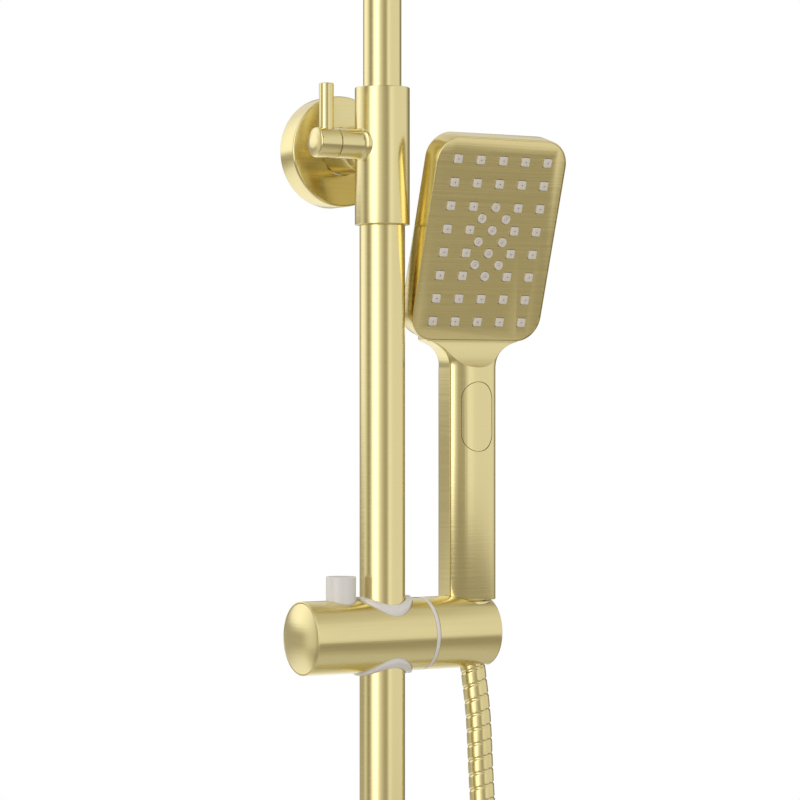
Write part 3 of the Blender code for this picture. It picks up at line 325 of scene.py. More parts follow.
def lathe(name, corners, place, closed=False, sides=96):
    """A turned piece: profile (r, z[, reach]) round local Z."""
    profile = eased(corners, closed)
    verts, faces, rings = [], [], []
    for r, z in profile:
        if r < 1e-7:
            rings.append([len(verts)])
            verts.append(place @ Vector((0, 0, z)))
        else:
            rings.append(list(range(len(verts), len(verts) + sides)))
            for i in range(sides):
                angle = 2 * pi * i / sides
                verts.append(place @ Vector((r * cos(angle), r * sin(angle), z)))
    pairs = list(zip(rings, rings[1:]))
    if closed:
        pairs.append((rings[-1], rings[0]))
    for low, high in pairs:
        for i in range(sides):
            j = (i + 1) % sides
            corner = []
            below = (low[i % len(low)], low[j % len(low)])
            above = (high[j % len(high)], high[i % len(high)])
            for index in below + above:
                if index not in corner:
                    corner.append(index)
            if len(corner) > 2:
                faces.append(corner)
    return raw(name, verts, faces)


def rounded(width, height, radius, steps=8):
    """A rectangle's outline with rounded corners."""
    radius = min(radius, width / 2, height / 2)
    points = []
    for sx, sy, start in ((1, 1, 0), (-1, 1, pi / 2), (-1, -1, pi), (1, -1, 1.5 * pi)):
        for i in range(steps + 1):
            angle = start + i / steps * pi / 2
            points.append((sx * (width / 2 - radius) + radius * cos(angle),
                           sy * (height / 2 - radius) + radius * sin(angle)))
    return points


def inset(outline, amount):
    """The outline moved inwards along its own normals."""
    out = []
    count = len(outline)
    for i in range(count):
        before, after = Vector(outline[i - 1]), Vector(outline[(i + 1) % count])
        along = (after - before).normalized()
        out.append((outline[i][0] - along.y * amount, outline[i][1] + along.x * amount))
    return out


def skin(count, layers):
    """Faces that join layers of points into a closed tube."""
    faces = []
    for layer in range(layers - 1):
        base = layer * count
        for i in range(count):
            j = (i + 1) % count
            faces.append((base + i, base + j, base + count + j, base + count + i))
    faces.append(tuple(reversed(range(count))))
    faces.append(tuple(range((layers - 1) * count, layers * count)))
    return faces


def block(name, outline, low, high, place, low_rim=0.0, high_rim=0.0, steps=4):
    """An extruded outline with rounded rims."""
    turns = [step / steps * pi / 2 for step in range(steps + 1)]
    layers = [(low, 0.0)]
    if low_rim:
        layers = [(low + low_rim * (1 - cos(turn)), low_rim * (1 - sin(turn))) for turn in turns]
    if high_rim:
        layers += [(high - high_rim * (1 - sin(turn)), high_rim * (1 - cos(turn))) for turn in turns]
    else:
        layers.append((high, 0.0))
    verts = []
    for z, amount in layers:
        for x, y in inset(outline, amount) if amount else outline:
            verts.append(place @ Vector((x, y, z)))
    return raw(name, verts, skin(len(outline), len(layers)))


def boolean(piece, others, operation):
    for other in others:
        step = piece.modifiers.new("cut", "BOOLEAN")
        step.operation = operation
        step.solver = "EXACT"
        step.object = other
        with bpy.context.temp_override(object=piece, active_object=piece, selected_objects=[piece]):
            bpy.ops.object.modifier_apply(modifier=step.name)
        bpy.data.objects.remove(other, do_unlink=True)
    return piece


def cut(piece, *others):
    return boolean(piece, others, "DIFFERENCE")


def joined(piece, *others):
    return boolean(piece, others, "UNION")


def softened(piece, width, segments=2, angle=35):
    """Rounds the piece's sharp edges a little."""
    step = piece.modifiers.new("edge", "BEVEL")
    step.width = width
    step.segments = segments
    step.limit_method = "ANGLE"
    step.angle_limit = radians(angle)
    step.use_clamp_overlap = True
    with bpy.context.temp_override(object=piece, active_object=piece, selected_objects=[piece]):
        bpy.ops.object.modifier_apply(modifier=step.name)
    return piece


def combined(name, *pieces):
    """Several pieces' meshes in one object."""
    work = bmesh.new()
    for piece in pieces:
        work.from_mesh(piece.data)
        bpy.data.objects.remove(piece, do_unlink=True)
    mesh = bpy.data.meshes.new(name)
    work.to_mesh(mesh)
    work.free()
    made = bpy.data.objects.new(name, mesh)
    bpy.context.scene.collection.objects.link(made)
    return made


def place_piece(piece, look, body, nodes, angle=35):
    """Finishes a piece: shading, material, body, and the CAD nodes it stands for."""
    piece.data.materials.clear()
    piece.data.materials.append(look)
    piece.data.shade_smooth()
    piece.data.set_sharp_from_angle(angle=radians(angle))
    if body:
        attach(piece, body)
    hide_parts(*nodes)
    return piece


def catmull(points, spacing):
    """Evenly spaced points along the smooth curve through a route's points."""
    fine = []
    ends = [points[0] * 2 - points[1]] + points + [points[-1] * 2 - points[-2]]
    for i in range(len(points) - 1):
        before, start, end, after = ends[i : i + 4]
        for step in range(24):
            t = step / 24
            fine.append(0.5 * (start * 2 + (end - before) * t
                               + (before * 2 - start * 5 + end * 4 - after) * t * t
                               + (start * 3 - before - end * 3 + after) * t * t * t))
    fine.append(points[-1])
    lengths = [0.0]
    for here, there in zip(fine, fine[1:]):
        lengths.append(lengths[-1] + (there - here).length)
    count = max(2, round(lengths[-1] / spacing))
    even, place = [], 0
    for i in range(count + 1):
        target = lengths[-1] * i / count
        while place < len(fine) - 2 and lengths[place + 1] < target:
            place += 1
        share = (target - lengths[place]) / (lengths[place + 1] - lengths[place])
        even.append(fine[place].lerp(fine[place + 1], min(1.0, share)))
    return even, lengths[-1]


def frames_along(points):
    """A direction and a steady side vector at each point of a path."""
    sides, tangents = [], []
    side = None
    for i, point in enumerate(points):
        before = points[max(0, i - 1)]
        after = points[min(len(points) - 1, i + 1)]
        along = (after - before).normalized()
        if side is None:
            side = along.orthogonal().normalized()
        else:
            side = (side - along * side.dot(along)).normalized()
        tangents.append(along)
        sides.append(side)
    return tangents, sides


def swept(name, points, radius, sides=64):
    """A round rod along a path."""
    verts = []
    for point, along, first in zip(points, *frames_along(points)):
        second = along.cross(first)
        for k in range(sides):
            angle = 2 * pi * k / sides
            verts.append(point + (first * cos(angle) + second * sin(angle)) * radius)
    return raw(name, verts, skin(sides, len(points)))


# ---- hose ------------------------------------------------------------------------------------
def band(share):
    """The interlocked strip's height over one turn: a broad band, then a short step down."""
    if share < 0.80:
        return 1.0 - 0.006 * (2 * share / 0.80 - 1) ** 2
    if share < 0.84:
        return 0.915
    if share < 0.97:
        return 0.935
    return 0.965


HOSE_POINTS_PER_TURN = 14
HOSE_SIDES = 28
# name of each stretch from the handset down, its lower body and its upper body
HOSE_STRETCHES = (
    ("hose_top", "holder", "handset"),
    ("hose_tilt", "slider", "holder"),
    ("hose_turn", "carriage", "slider"),
    ("hose_main", "column", "carriage"),
)


def hose():
    """One spiral-wound metal hose in the four stretches that its joints need."""
    route = [Vector((x, RAIL_Y + y, z)) for x, y, z in HOSE_ROUTE]
    fine, length = catmull(route, HOSE_PITCH / HOSE_POINTS_PER_TURN)
    spacing = length / (len(fine) - 1)
    turns_per_point = spacing / HOSE_PITCH
    tangents, firsts = frames_along(fine)
    ends = [0] + [round(c / spacing) for c in HOSE_CUTS] + [len(fine) - 1]
    for (name, below, above), first, last in zip(HOSE_STRETCHES, ends, ends[1:]):
        verts = []
        for i in range(first, last + 1):
            along, side = tangents[i], firsts[i]
            second = along.cross(side)
            point = fine[i]
            if i == first and name != "hose_top":
                point = point + along * GAP
            for k in range(HOSE_SIDES):
                angle = 2 * pi * k / HOSE_SIDES
                share = (i * turns_per_point - k / HOSE_SIDES) % 1.0
                r = HOSE_R * band(share)
                verts.append(point + (side * cos(angle) + second * sin(angle)) * r)
        piece = raw(name + "_spiral", verts, skin(HOSE_SIDES, last + 1 - first))
        place_piece(piece, HOSE_GOLD_PAINTED_SHADE, None, [name], 24)
        path = [tuple(fine[i]) for i in range(first, last + 1, HOSE_POINTS_PER_TURN)]
        if path[-1] != tuple(fine[last]):
            path.append(tuple(fine[last]))
        if name == "hose_main":
            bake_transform(piece)
        else:
            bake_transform(piece)


hose()


# ---- upper arm, flange and diverter ----------------------------------------------------------
def cover(name, z, radius, hole_r, node):
    """A round wall cover: a flat front with a small rounded rim, open at the back."""
    wall = 0.0025
    piece = lathe(name, [
        (hole_r, FLANGE_DEPTH, 0.0003), (radius, FLANGE_DEPTH, 0.0013), (radius, 0, 0.0003),
        (radius - wall, 0, 0.0003), (radius - wall, FLANGE_DEPTH - wall, 0.0005),
        (hole_r, FLANGE_DEPTH - wall, 0.0003)], at(0, 0, z, TO_FRONT), True, 128)
    return place_piece(piece, GOLD, "column", [node])


def upper_pieces():
    cover("wall_cover_upper", 0, FLANGE_R, ARM_R + GAP, "upper_flange")
    out = at(0, 0, 0, TO_FRONT)
    seam = -RAIL_Y - ARM_SEAM - 0.0008 - GAP
    arm = lathe("arm_tube", [(0.0080, 0.0121), (ARM_R, 0.0121, 0.0003), (ARM_R, seam, 0.0002),
                             (0.0080, seam)], out, True)
    place_piece(arm, GOLD, "column", ["upper_arm"])
    # The seam ring's lighter colour is a painted highlight.
    ring = lathe("arm_seam_ring", [(0.0100, seam + GAP), (ARM_R + 0.0001, seam + GAP, 0.0003),
                                   (ARM_R + 0.0001, seam + GAP + 0.0008, 0.0003),
                                   (0.0100, seam + GAP + 0.0008)], out, True)
    place_piece(ring, POLISHED_GOLD_PAINTED_HIGHLIGHT, "column", ["arm_ring"])

    rim = 0.0006
    body = lathe("sleeve", [
        (RISER_R + GAP, BODY_TOP, 0.0003), (BODY_R, BODY_TOP, rim), (BODY_R, BODY_BOTTOM, rim),
        (RAIL_R + GAP, BODY_BOTTOM, 0.0003), (RAIL_R + GAP, BODY_BOTTOM + 0.0225),
        (0.0045, BODY_BOTTOM + 0.0225), (0.0045, BODY_TOP - 0.0200),
        (RISER_R + GAP, BODY_TOP - 0.0200)], at_rail(), True, 112)
    rear = lathe("rear_boss", [(0, 0.0100), (ARM_R, 0.0100), (ARM_R, ARM_SEAM, 0.0003), (0, ARM_SEAM)],
                 at_rail(0, TO_WALL))
    side = lathe("side_boss", [(0, 0.0100), (HANDLE_R + 0.0014, 0.0100), (HANDLE_R + 0.0014, 0.0143),
                               (HANDLE_R + 0.0005, 0.0153, 0.0006), (HANDLE_R, 0.0165, 0.0008),
                               (HANDLE_R, -HANDLE_SEAM - GAP, 0.0003), (0, -HANDLE_SEAM - GAP)],
                 at_rail(0, TO_LEFT))
    joined(body, rear, side)
    inlet = lathe("inlet", [(0, 0), (0.0079, 0), (0.0079, ARM_SEAM + 0.001), (0, ARM_SEAM + 0.001)],
                  at_rail(0, TO_WALL), sides=40)
    cross = lathe("cross", [(0, -0.0095), (0.0065, -0.0095), (0.0065, -HANDLE_SEAM + 0.001),
                            (0, -HANDLE_SEAM + 0.001)], at_rail(0, TO_LEFT), sides=40)
    hollow = lathe("hollow", [(0, -0.0172), (0.0118, -0.0172), (0.0118, 0.0078), (0, 0.0078)],
                   at_rail(), sides=40)
    cut(body, hollow, inlet, cross)
    place_piece(body, GOLD, "column", ["diverter_body"], 28)

    left = at_rail(0, TO_LEFT)
    end = -HANDLE_END
    stem_end = end - 0.0045
    handle = lathe("turning_handle", [
        (0, end + 0.0010), (HANDLE_R * 0.5, end + 0.0008, 0.001), (HANDLE_R, end - 0.0002, 0.0011),
        (HANDLE_R, -HANDLE_SEAM, 0.0003), (0.0033, -HANDLE_SEAM), (0.0033, stem_end + GAP),
        (0, stem_end + GAP)], left)
    socket = lathe("socket", [(0, 0.0039), (LEVER_R + GAP, 0.0039), (LEVER_R + GAP, 0.012), (0, 0.012)],
                   at(LEVER_X, RAIL_Y, 0), sides=48)
    screw_hole = lathe("screw_hole", [(0, 0.0020), (0.0018, 0.0020), (0.0018, 0.012), (0, 0.012)],
                       at(LEVER_X, RAIL_Y, 0, Matrix.Rotation(pi, 4, "X")), sides=24)
    cut(handle, socket, screw_hole)
    place_piece(handle, GOLD, "diverter", ["diverter_handle"])
    lever = lathe("lever_pin", [(0, 0.0042), (LEVER_R, 0.0042, 0.0003), (LEVER_R, LEVER_TOP, 0.0008),
                                (0, LEVER_TOP)], at(LEVER_X, RAIL_Y, 0), sides=64)
    place_piece(lever, GOLD, "diverter", ["diverter_lever"])


upper_pieces()


# ---- rail, lower bracket, riser --------------------------------------------------------------
def rail_pieces():
    rail_top = BODY_BOTTOM + 0.0225 - GAP
    rail_low = LOWER_Z - 0.0060 + GAP
    rail = lathe("rail_tube", [(0.0105, rail_low), (RAIL_R, rail_low, 0.0003),
                               (RAIL_R, rail_top, 0.0003), (0.0105, rail_top)], at_rail(), True, 112)
    place_piece(rail, GOLD, "column", ["slide_rail"])
    top, bottom = LOWER_Z + LOWER_HALF, LOWER_Z - LOWER_HALF
    floor = LOWER_Z - 0.0060
    body = lathe("lower_sleeve", [
        (RAIL_R + GAP, top, 0.0003), (BODY_R, top, 0.0006), (BODY_R, bottom, 0.0006),
        (0.0107, bottom, 0.0003), (0.0107, floor - 0.0080), (0.0070, floor - 0.0080),
        (0.0070, floor), (RAIL_R + GAP, floor)], at_rail(), True, 96)
    boss = lathe("lower_boss", [(0, 0.0138), (LOWER_BOSS_R, 0.0138), (LOWER_BOSS_R, ARM_SEAM, 0.0003),
                                (0, ARM_SEAM)], at_rail(LOWER_Z, TO_WALL), sides=80)
    joined(body, boss)
    place_piece(body, GOLD, "column", ["lower_body"])
    out = at(0, 0, LOWER_Z, TO_FRONT)
    cover("wall_cover_lower", LOWER_Z, LOWER_FLANGE_R, LOWER_BOSS_R + GAP, "lower_flange")
    arm = lathe("lower_arm_rod", [(0, 0.0043), (LOWER_BOSS_R, 0.0043, 0.0003),
                                  (LOWER_BOSS_R, -RAIL_Y - ARM_SEAM - GAP, 0.0003),
                                  (0, -RAIL_Y - ARM_SEAM - GAP)], out, sides=80)
    place_piece(arm, GOLD, "column", ["lower_arm"])

    bend, end_bend = GOOSENECK_BEND, 0.0400
    points = [Vector((0, RAIL_Y, BODY_TOP - 0.0200 + GAP))]
    points.append(Vector((0, RAIL_Y, 0.16)))
    centre = (RAIL_Y - bend, GOOSENECK_TOP - bend)
    for i in range(33):
        angle = pi / 2 * i / 32
        points.append(Vector((0, centre[0] + bend * cos(angle), centre[1] + bend * sin(angle))))
    centre = (FRONT_Y + end_bend, GOOSENECK_TOP - end_bend)
    for i in range(29):
        angle = pi / 2 + pi / 2 * i / 28
        points.append(Vector((0, centre[0] + end_bend * cos(angle), centre[1] + end_bend * sin(angle))))
    points.append(Vector((0, FRONT_Y, GOOSENECK_END)))
    riser = swept("riser", points, RISER_R, 80)
    bore = lathe("end_bore", [(0, -0.001), (0.0085, -0.001), (0.0085, 0.0140), (0, 0.0140)],
                 at(0, FRONT_Y, GOOSENECK_END), sides=40)
    foot = lathe("foot_bore", [(0, 0), (0.0090, 0), (0.0090, 0.04), (0, 0.04)], at_rail(), sides=40)
    cut(riser, bore, foot)
    place_piece(riser, GOLD, "column", ["riser_tube"], 30)


rail_pieces()


# ---- rain head -------------------------------------------------------------------------------
def rain_places():
    places = [(0.0, 0.0)]
    for number in range(1, 4):
        for i in range(6 * number):
            angle = 2 * pi * (i + 0.5 * (number % 2)) / (6 * number)
            places.append((number * 0.0330 * cos(angle), number * 0.0330 * sin(angle)))
    return places


def rain_pieces():
    axis = at(0, FRONT_Y, 0)
    stem = lathe("ball_and_stem", [
        (0, GOOSENECK_END + 0.0120), (0.0082, GOOSENECK_END + 0.0120, 0.0003),
        (0.0082, GOOSENECK_END - GAP), (RISER_R, GOOSENECK_END - GAP, 0.0003),
        (RISER_R, GOOSENECK_END - 0.0025, 0.0006), (0.0060, GOOSENECK_END - 0.0038, 0.0006)]
        + [(BALL_R * sin(radians(a)), BALL_Z + BALL_R * cos(radians(a))) for a in range(38, 180, 6)]
        + [(0, BALL_Z - BALL_R)], axis, sides=80)
    place_piece(stem, GOLD, "column", ["ball_stem"])
    shoulder = 0.0042
    mouth = sqrt((BALL_R + GAP) ** 2 - shoulder**2) + GAP
    top = BALL_Z + shoulder + 0.0022
    nut = lathe("collar_nut", [
        (mouth, top, 0.0003), (0.0135, top, 0.001), (0.0165, top - 0.0030, 0.001),
        (0.0165, RAIN_TOP + GAP, 0.0004), (0.0132, RAIN_TOP + GAP), (0.0132, BALL_Z + shoulder),
        (mouth, BALL_Z + shoulder)], axis, True)
    for i in range(20):  # grip flutes round the nut
        flute = lathe("flute", [(0, RAIN_TOP + 0.003), (0.0010, RAIN_TOP + 0.0045),
                                (0.0010, top - 0.006), (0, top - 0.0045)],
                      axis @ Matrix.Rotation(2 * pi * i / 20, 4, "Z") @ at(0.0170, 0, 0), sides=12)
        cut(nut, flute)
    place_piece(nut, GOLD, "rain_head", ["ball_nut"])
    depth, skin = 0.0125, 0.0015
    shell = lathe("rain_shell", [
        (0.0060, RAIN_TOP, 0.0003), (0.0200, RAIN_TOP, 0.004), (0.0320, RAIN_TOP - 0.0030, 0.006),
        (RAIN_R - 0.0120, RAIN_TOP - 0.0050, 0.008), (RAIN_R - 0.0020, RAIN_TOP - 0.0070, 0.0015),
        (RAIN_R, RAIN_TOP - 0.0090, 0.0012), (RAIN_R, RAIN_TOP - depth, 0.0008),
        (RAIN_R - 0.0050, RAIN_TOP - depth, 0.0004), (RAIN_R - 0.0050, RAIN_TOP - 0.0070 - skin),
        (0.0320, RAIN_TOP - 0.0030 - skin), (0.0060, RAIN_TOP - 0.0030)], axis, True, 192)
    place_piece(shell, GOLD, "rain_head", ["rain_head_shell"])
    low = RAIN_TOP - depth + 0.0003
    thick = 0.0012
    plate = lathe("rain_plate", [(0, low), (RAIN_R - 0.0053, low, 0.0003),
                                 (RAIN_R - 0.0053, low + thick, 0.0003), (0, low + thick)], axis,
                  sides=160)
    mat_low = low + thick + GAP
    mat_r, mat_high = RAIN_R - 0.0060, mat_low + 0.0010
    mat = lathe("rain_mat", [(0, mat_low), (mat_r, mat_low), (mat_r, mat_high), (0, mat_high)], axis)
    holes, nubs = [], []
    for x, y in rain_places():
        where = at(x, FRONT_Y + y, 0)
        holes.append(lathe("hole", [(0, low - 0.003), (0.0024, low - 0.003), (0.0024, low + 0.005),
                                    (0, low + 0.005)], where, sides=20))
        tip = low - 0.0012
        nubs.append(lathe("nub", [(0, mat_low + 0.0005), (0.0020, mat_low + 0.0005),
                                  (0.0019, tip, 0.0005), (0.0007, tip, 0.0001),
                                  (0.0006, tip + 0.0008), (0, tip + 0.0008)], where, sides=20))
    cut(plate, combined("holes", *holes))
    mat = combined("rain_mat", mat, *nubs)
    place_piece(plate, PLATE_GOLD_PAINTED_LIGHT, "rain_head", ["rain_face_plate"])
    place_piece(mat, SILICONE, "rain_head", ["rain_nozzle_mat"])


rain_pieces()


# ---- slider ----------------------------------------------------------------------------------
def liner(name, sign, node):
    """A white collar round the rail, proud of the slider and shaped to its round side."""
    low, high = 0.0060, 0.0260
    place = at_rail(SLIDER_Z, Matrix.Rotation(0 if sign > 0 else pi, 4, "X"))
    collar = lathe(name, [(RAIL_R + GAP, low), (LINER_R, low), (LINER_R, high), (RAIL_R + GAP, high)],
                   place, True, 128)
    saddle = lathe("saddle", [(SLIDER_R + LINER_PROUD, -0.03), (0.05, -0.03), (0.05, 0.03),
                              (SLIDER_R + LINER_PROUD, 0.03)], at_rail(SLIDER_Z, TO_X), True, 160)
    cut(collar, saddle)
    softened(collar, 0.0004, 3, 30)
    return place_piece(collar, WHITE, "slider", [node], 40)


def slider_pieces():
    axis = at_rail(SLIDER_Z, TO_X)
    body_left = SLIDER_LEFT + 0.0040
    body = lathe("slider_barrel", [
        (0, SLIDER_RIGHT), (SLIDER_R, SLIDER_RIGHT, 0.0004), (SLIDER_R, SLIDER_LEFT, 0.0004),
        (CAP_R + 0.0001, SLIDER_LEFT, 0.0002), (CAP_R + 0.0001, body_left), (0, body_left)], axis,
                 sides=160)
    bore = lathe("bore", [(0, -0.03), (LINER_R + GAP, -0.03), (LINER_R + GAP, 0.03), (0, 0.03)],
                 at_rail(SLIDER_Z), sides=128)
    cavity = lathe("cavity", [(0, body_left - 0.001), (0.0110, body_left - 0.001), (0.0110, -0.0120),
                              (0, -0.0120)], axis, sides=48)
    well = lathe("well", [(0, -0.0125), (BUTTON_R + GAP, -0.0125), (BUTTON_R + GAP, 0.03), (0, 0.03)],
                 at(BUTTON_X, RAIL_Y, SLIDER_Z), sides=72)
    axle = lathe("axle", [(0, 0.0120), (0.0043, 0.0120), (0.0043, SLIDER_RIGHT + 0.001),
                          (0, SLIDER_RIGHT + 0.001)], axis, sides=40)
    cut(body, bore, cavity, well, axle)
    place_piece(body, GOLD, "slider", ["slider_body"], 30)

    dome = 0.0030
    arc = [(CAP_R * s / 8, SLIDER_LEFT - dome * (1 - (s / 8) ** 2)) for s in range(8)]
    back = body_left - GAP
    cap = lathe("slider_cap", [(0, back), (CAP_R, back), (CAP_R, SLIDER_LEFT, 0.0004)] + arc[::-1], axis,
                sides=128)
    place_piece(cap, GOLD, "slider", ["slider_end_cap"])
    liner("collar_upper", 1, "rail_liner_upper")
    liner("collar_lower", -1, "rail_liner_lower")

    button = lathe("push_button", [
        (0, -0.0075), (BUTTON_R, -0.0075, 0.0004), (BUTTON_R, BUTTON_TOP, 0.0009),
        (BUTTON_R - 0.0012, BUTTON_TOP, 0.0002), (BUTTON_R - 0.0022, BUTTON_TOP - 0.0002, 0.0005),
        (0, BUTTON_TOP - 0.0003)], at(BUTTON_X, RAIL_Y, SLIDER_Z), sides=80)
    window = block("window", rounded(0.0052, 0.0120, 0.0024, 4), -0.012, 0.012,
                   at(BUTTON_X, RAIL_Y, SLIDER_Z, Matrix.Rotation(pi / 2, 4, "Y")
                      @ Matrix.Rotation(pi / 2, 4, "Z")))
    seat = lathe("seat", [(0, -0.0085), (0.0056, -0.0085), (0.0056, -0.0052), (0, -0.0052)],
                 at(BUTTON_X, RAIL_Y, SLIDER_Z), sides=32)
    cut(button, window, seat)
    place_piece(button, WHITE, "release", ["release_button"])

    left = SLIDER_RIGHT + GAP
    ring = lathe("spacer_ring", [(0.0120, left - 0.0002), (SLIDER_R - 0.0001, left - 0.0002, 0.0002),
                                 (SLIDER_R - 0.0001, left + 0.0020, 0.0002), (0.0120, left + 0.0020)],
                 axis, True, 128)
    place_piece(ring, WHITE, "slider", ["friction_ring"])


def holder_pieces():
    axis = at_rail(SLIDER_Z, TO_X)
    holder = lathe("handset_holder", [
        (0, HOLDER_RIGHT), (SLIDER_R, HOLDER_RIGHT, 0.0022), (SLIDER_R, HOLDER_LEFT, 0.0004),
        (0, HOLDER_LEFT)], axis, sides=160)
    place = at(SEAT_X, SEAT_Y, SLIDER_Z)
    bore = lathe("bore", [(0, 0.024), (BORE_TOP_R, 0.024), (BORE_TOP_R, 0.0145),
                          (BORE_BOTTOM_R, -0.0150), (BORE_BOTTOM_R, -0.024), (0, -0.024)], place)
    slot = block("slot", rounded(0.0300, BORE_SLOT, 0.0002, 1), -0.022, 0.022,
                 at(SEAT_X + 0.0150, SEAT_Y, SLIDER_Z))
    flat = block("flat", inset(handle_section(), -0.0004), 0.0174 - GAP, 0.030,
                 at(SEAT_X, RAIL_Y, SLIDER_Z))
    space = lathe("space", [(0, HOLDER_LEFT - 0.001), (0.0080, HOLDER_LEFT - 0.001),
                            (0.0080, HOLDER_LEFT + 0.0080), (0, HOLDER_LEFT + 0.0080)], axis, sides=40)
    cut(holder, bore, slot, flat, space)
    place_piece(holder, GOLD, "holder", ["holder"], 28)


slider_pieces()


# ---- handset ---------------------------------------------------------------------------------
def face_place():
    return Matrix.Translation(FACE_CENTRE) @ Matrix.Rotation(pi / 2 + HEAD_TILT, 4, "X")


def handle_section(width=HANDLE_WIDTH, steps=7):
    """The handle's outline: a bowed front that rolls into the flat sides, and a flat back."""
    half = HANDLE_WIDTH / 2
    bows = ((0, 28, 0.0240), (28, 55, 0.0090), (55, 90, 0.0025))
    quarter = [(0.0, HANDLE_FRONT)]
    for first, last, radius in bows:
        x, y = quarter[-1]
        for i in range(1, steps + 1):
            angle = radians(first + (last - first) * i / steps)
            quarter.append((x + radius * (sin(angle) - sin(radians(first))),
                            y + radius * (cos(radians(first)) - cos(angle))))
    fit = half / quarter[-1][0]
    quarter = [(x * fit, y) for x, y in quarter]
    points = [(-x, y) for x, y in reversed(quarter)][:-1] + quarter
    for sign, start in ((1, 0), (-1, 0.5 * pi)):
        for i in range(steps + 1):
            angle = start + i / steps * pi / 2
            points.append((sign * (half - BACK_CORNER) + BACK_CORNER * cos(angle),
                           HANDLE_BACK - BACK_CORNER + BACK_CORNER * sin(angle)))
    return [(x * width / HANDLE_WIDTH, y) for x, y in points]


def head_outline(smaller, steps=12):
    """The head's outline, narrower and shorter by an amount."""
    return rounded(HEAD_WIDTH - smaller, HEAD_HEIGHT - smaller, HEAD_CORNER - smaller / 2, steps)


def nozzle_places():
    places = []
    for row in range(8):
        for column in range(5):
            places.append(((column - 2) * COLUMN_PITCH, (3.5 - row) * ROW_PITCH - NOZZLE_DROP,
                           column == 2 and 2 <= row <= 5))
    for half_row in (2.5, 3.5, 4.5):
        for side in (-1, 1):
            places.append((side * 0.0079, (3.5 - half_row) * ROW_PITCH - NOZZLE_DROP, True))
    return places


def handset_shell():
    """Handle, neck and head in one skin: the neck flares out and is scooped at the front."""
    place = face_place()
    foot = 0.0005
    neck_low, neck_high = -0.1225, -0.1010
    layers = [(SEAT_Z + foot * (1 - cos(i / 3 * pi / 2)), foot * (1 - sin(i / 3 * pi / 2)), 0.0)
              for i in range(4)]
    layers += [(neck_low + (-0.1062 - neck_low) * i / 20, 0.0, i / 20) for i in range(21)]
    layers.append((neck_high, 0.0, 1.0))
    verts = []
    for z, amount, share in layers:
        flare = min(0.0155, 0.0220 * (1 - sqrt(max(0.0, 1 - share**2.4))))
        outline = handle_section(HANDLE_WIDTH + 2 * flare)
        for u, v in inset(outline, amount) if amount else outline:
            verts.append((SEAT_X + u, RAIL_Y + v - (0.0030 * share if v > 0 else 0), z))
    handle = raw("handset_shell", verts, skin(len(outline), len(layers)))
    scoop = lathe("scoop", [(0, -0.06), (0.0179, -0.06), (0.0179, 0.06), (0, 0.06)],
                  at(SEAT_X, RAIL_Y - 0.0213, -0.1090, TO_X), sides=128)
    cut(handle, scoop)
    head = block("head", head_outline(0), -HEAD_DEPTH, 0, place, 0.0030, 0.0007, 5)
    joined(handle, head)
    recess = block("recess", head_outline(0.0014), -0.0105, 0.002, place)
    inlet = lathe("inlet", [(0, SEAT_Z - 0.001), (0.0081, SEAT_Z - 0.001), (0.0081, SEAT_Z + 0.0180),
                            (0, SEAT_Z + 0.0180)], at(SEAT_X, SEAT_Y, 0), sides=48)
    water = lathe("water", [(0, SEAT_Z + 0.0170), (0.0049, SEAT_Z + 0.0170), (0.0049, -0.0980),
                            (0, -0.0980)], at(SEAT_X, RAIL_Y + 0.0035, 0), sides=32)
    pocket = block("pocket", rounded(MODE_WIDTH + 2 * GAP, MODE_HEIGHT + 2 * GAP, MODE_WIDTH / 2, 14),
                   0.0022, 0.02, at(SEAT_X, RAIL_Y, MODE_Z, TO_FRONT))
    cut(handle, recess, inlet, water, pocket)
    place_piece(handle, GOLD, "handset", ["handset_body"], 26)


def spray_face():
    place = face_place()
    low, high = -0.0022, -0.0002
    plate = block("spray_face", head_outline(0.0016), low, high, place, 0.0, 0.0002, 2)
    mat_high = low - GAP
    mat = block("nozzle_bed", head_outline(0.0060, 8), mat_high - 0.0012, mat_high, place)
    holes, nubs, shade_dots = [], [], []
    for u, v, is_round in nozzle_places():
        where = place @ at(u, v, 0)
        tip = high + 0.0012
        if is_round:
            outer = 0.0026
            hole = [(0, low - 0.001), (outer + GAP, low - 0.001), (outer + GAP, high + 0.001),
                    (0, high + 0.001)]
            holes.append(lathe("hole", hole, where, sides=32))
            nubs.append(lathe("nub", [
                (0, mat_high - 0.0006), (outer, mat_high - 0.0006), (outer, tip, 0.0004),
                (0.0017, tip, 0.0002), (0.0015, tip - 0.0004, 0.0001), (0.0010, tip - 0.0004, 0.0001),
                (0.0008, tip, 0.0001), (0.0004, tip, 0.0001), (0.00035, tip - 0.0008),
                (0, tip - 0.0008)], where, sides=32))
        else:
            side = 0.0048
            holes.append(block("hole", rounded(side + 2 * GAP, side + 2 * GAP, 0.0007, 3), low - 0.001,
                               high + 0.001, where))
            nub = block("nub", rounded(side, side, 0.0006, 4), mat_high - 0.0006, tip, where, 0.0,
                        0.0003, 3)
            pit = lathe("pit", [(0, tip - 0.0008), (0.0004, tip - 0.0008), (0.0005, tip + 0.001),
                                (0, tip + 0.001)], where, sides=12)
            nubs.append(cut(nub, pit))
        # A dark disc at the bottom of each pit: painted shade for the opening's depth.
        shade_dots.append(lathe("dot", [(0, tip - 0.0009), (0.0003, tip - 0.0009), (0.0003, tip - 0.0007),
                                  (0, tip - 0.0007)], where, sides=12))
    cut(plate, combined("holes", *holes))
    place_piece(plate, PLATE_GOLD_PAINTED_LIGHT, "handset", ["spray_plate"])
    bed = combined("nozzle_bed", mat, *nubs)
    place_piece(bed, SILICONE, "handset", ["nozzle_mat"])
    dot = combined("nozzle_openings_painted_shade", *shade_dots)
    place_piece(dot, NOZZLE_PAINTED_SHADE, "handset", [])


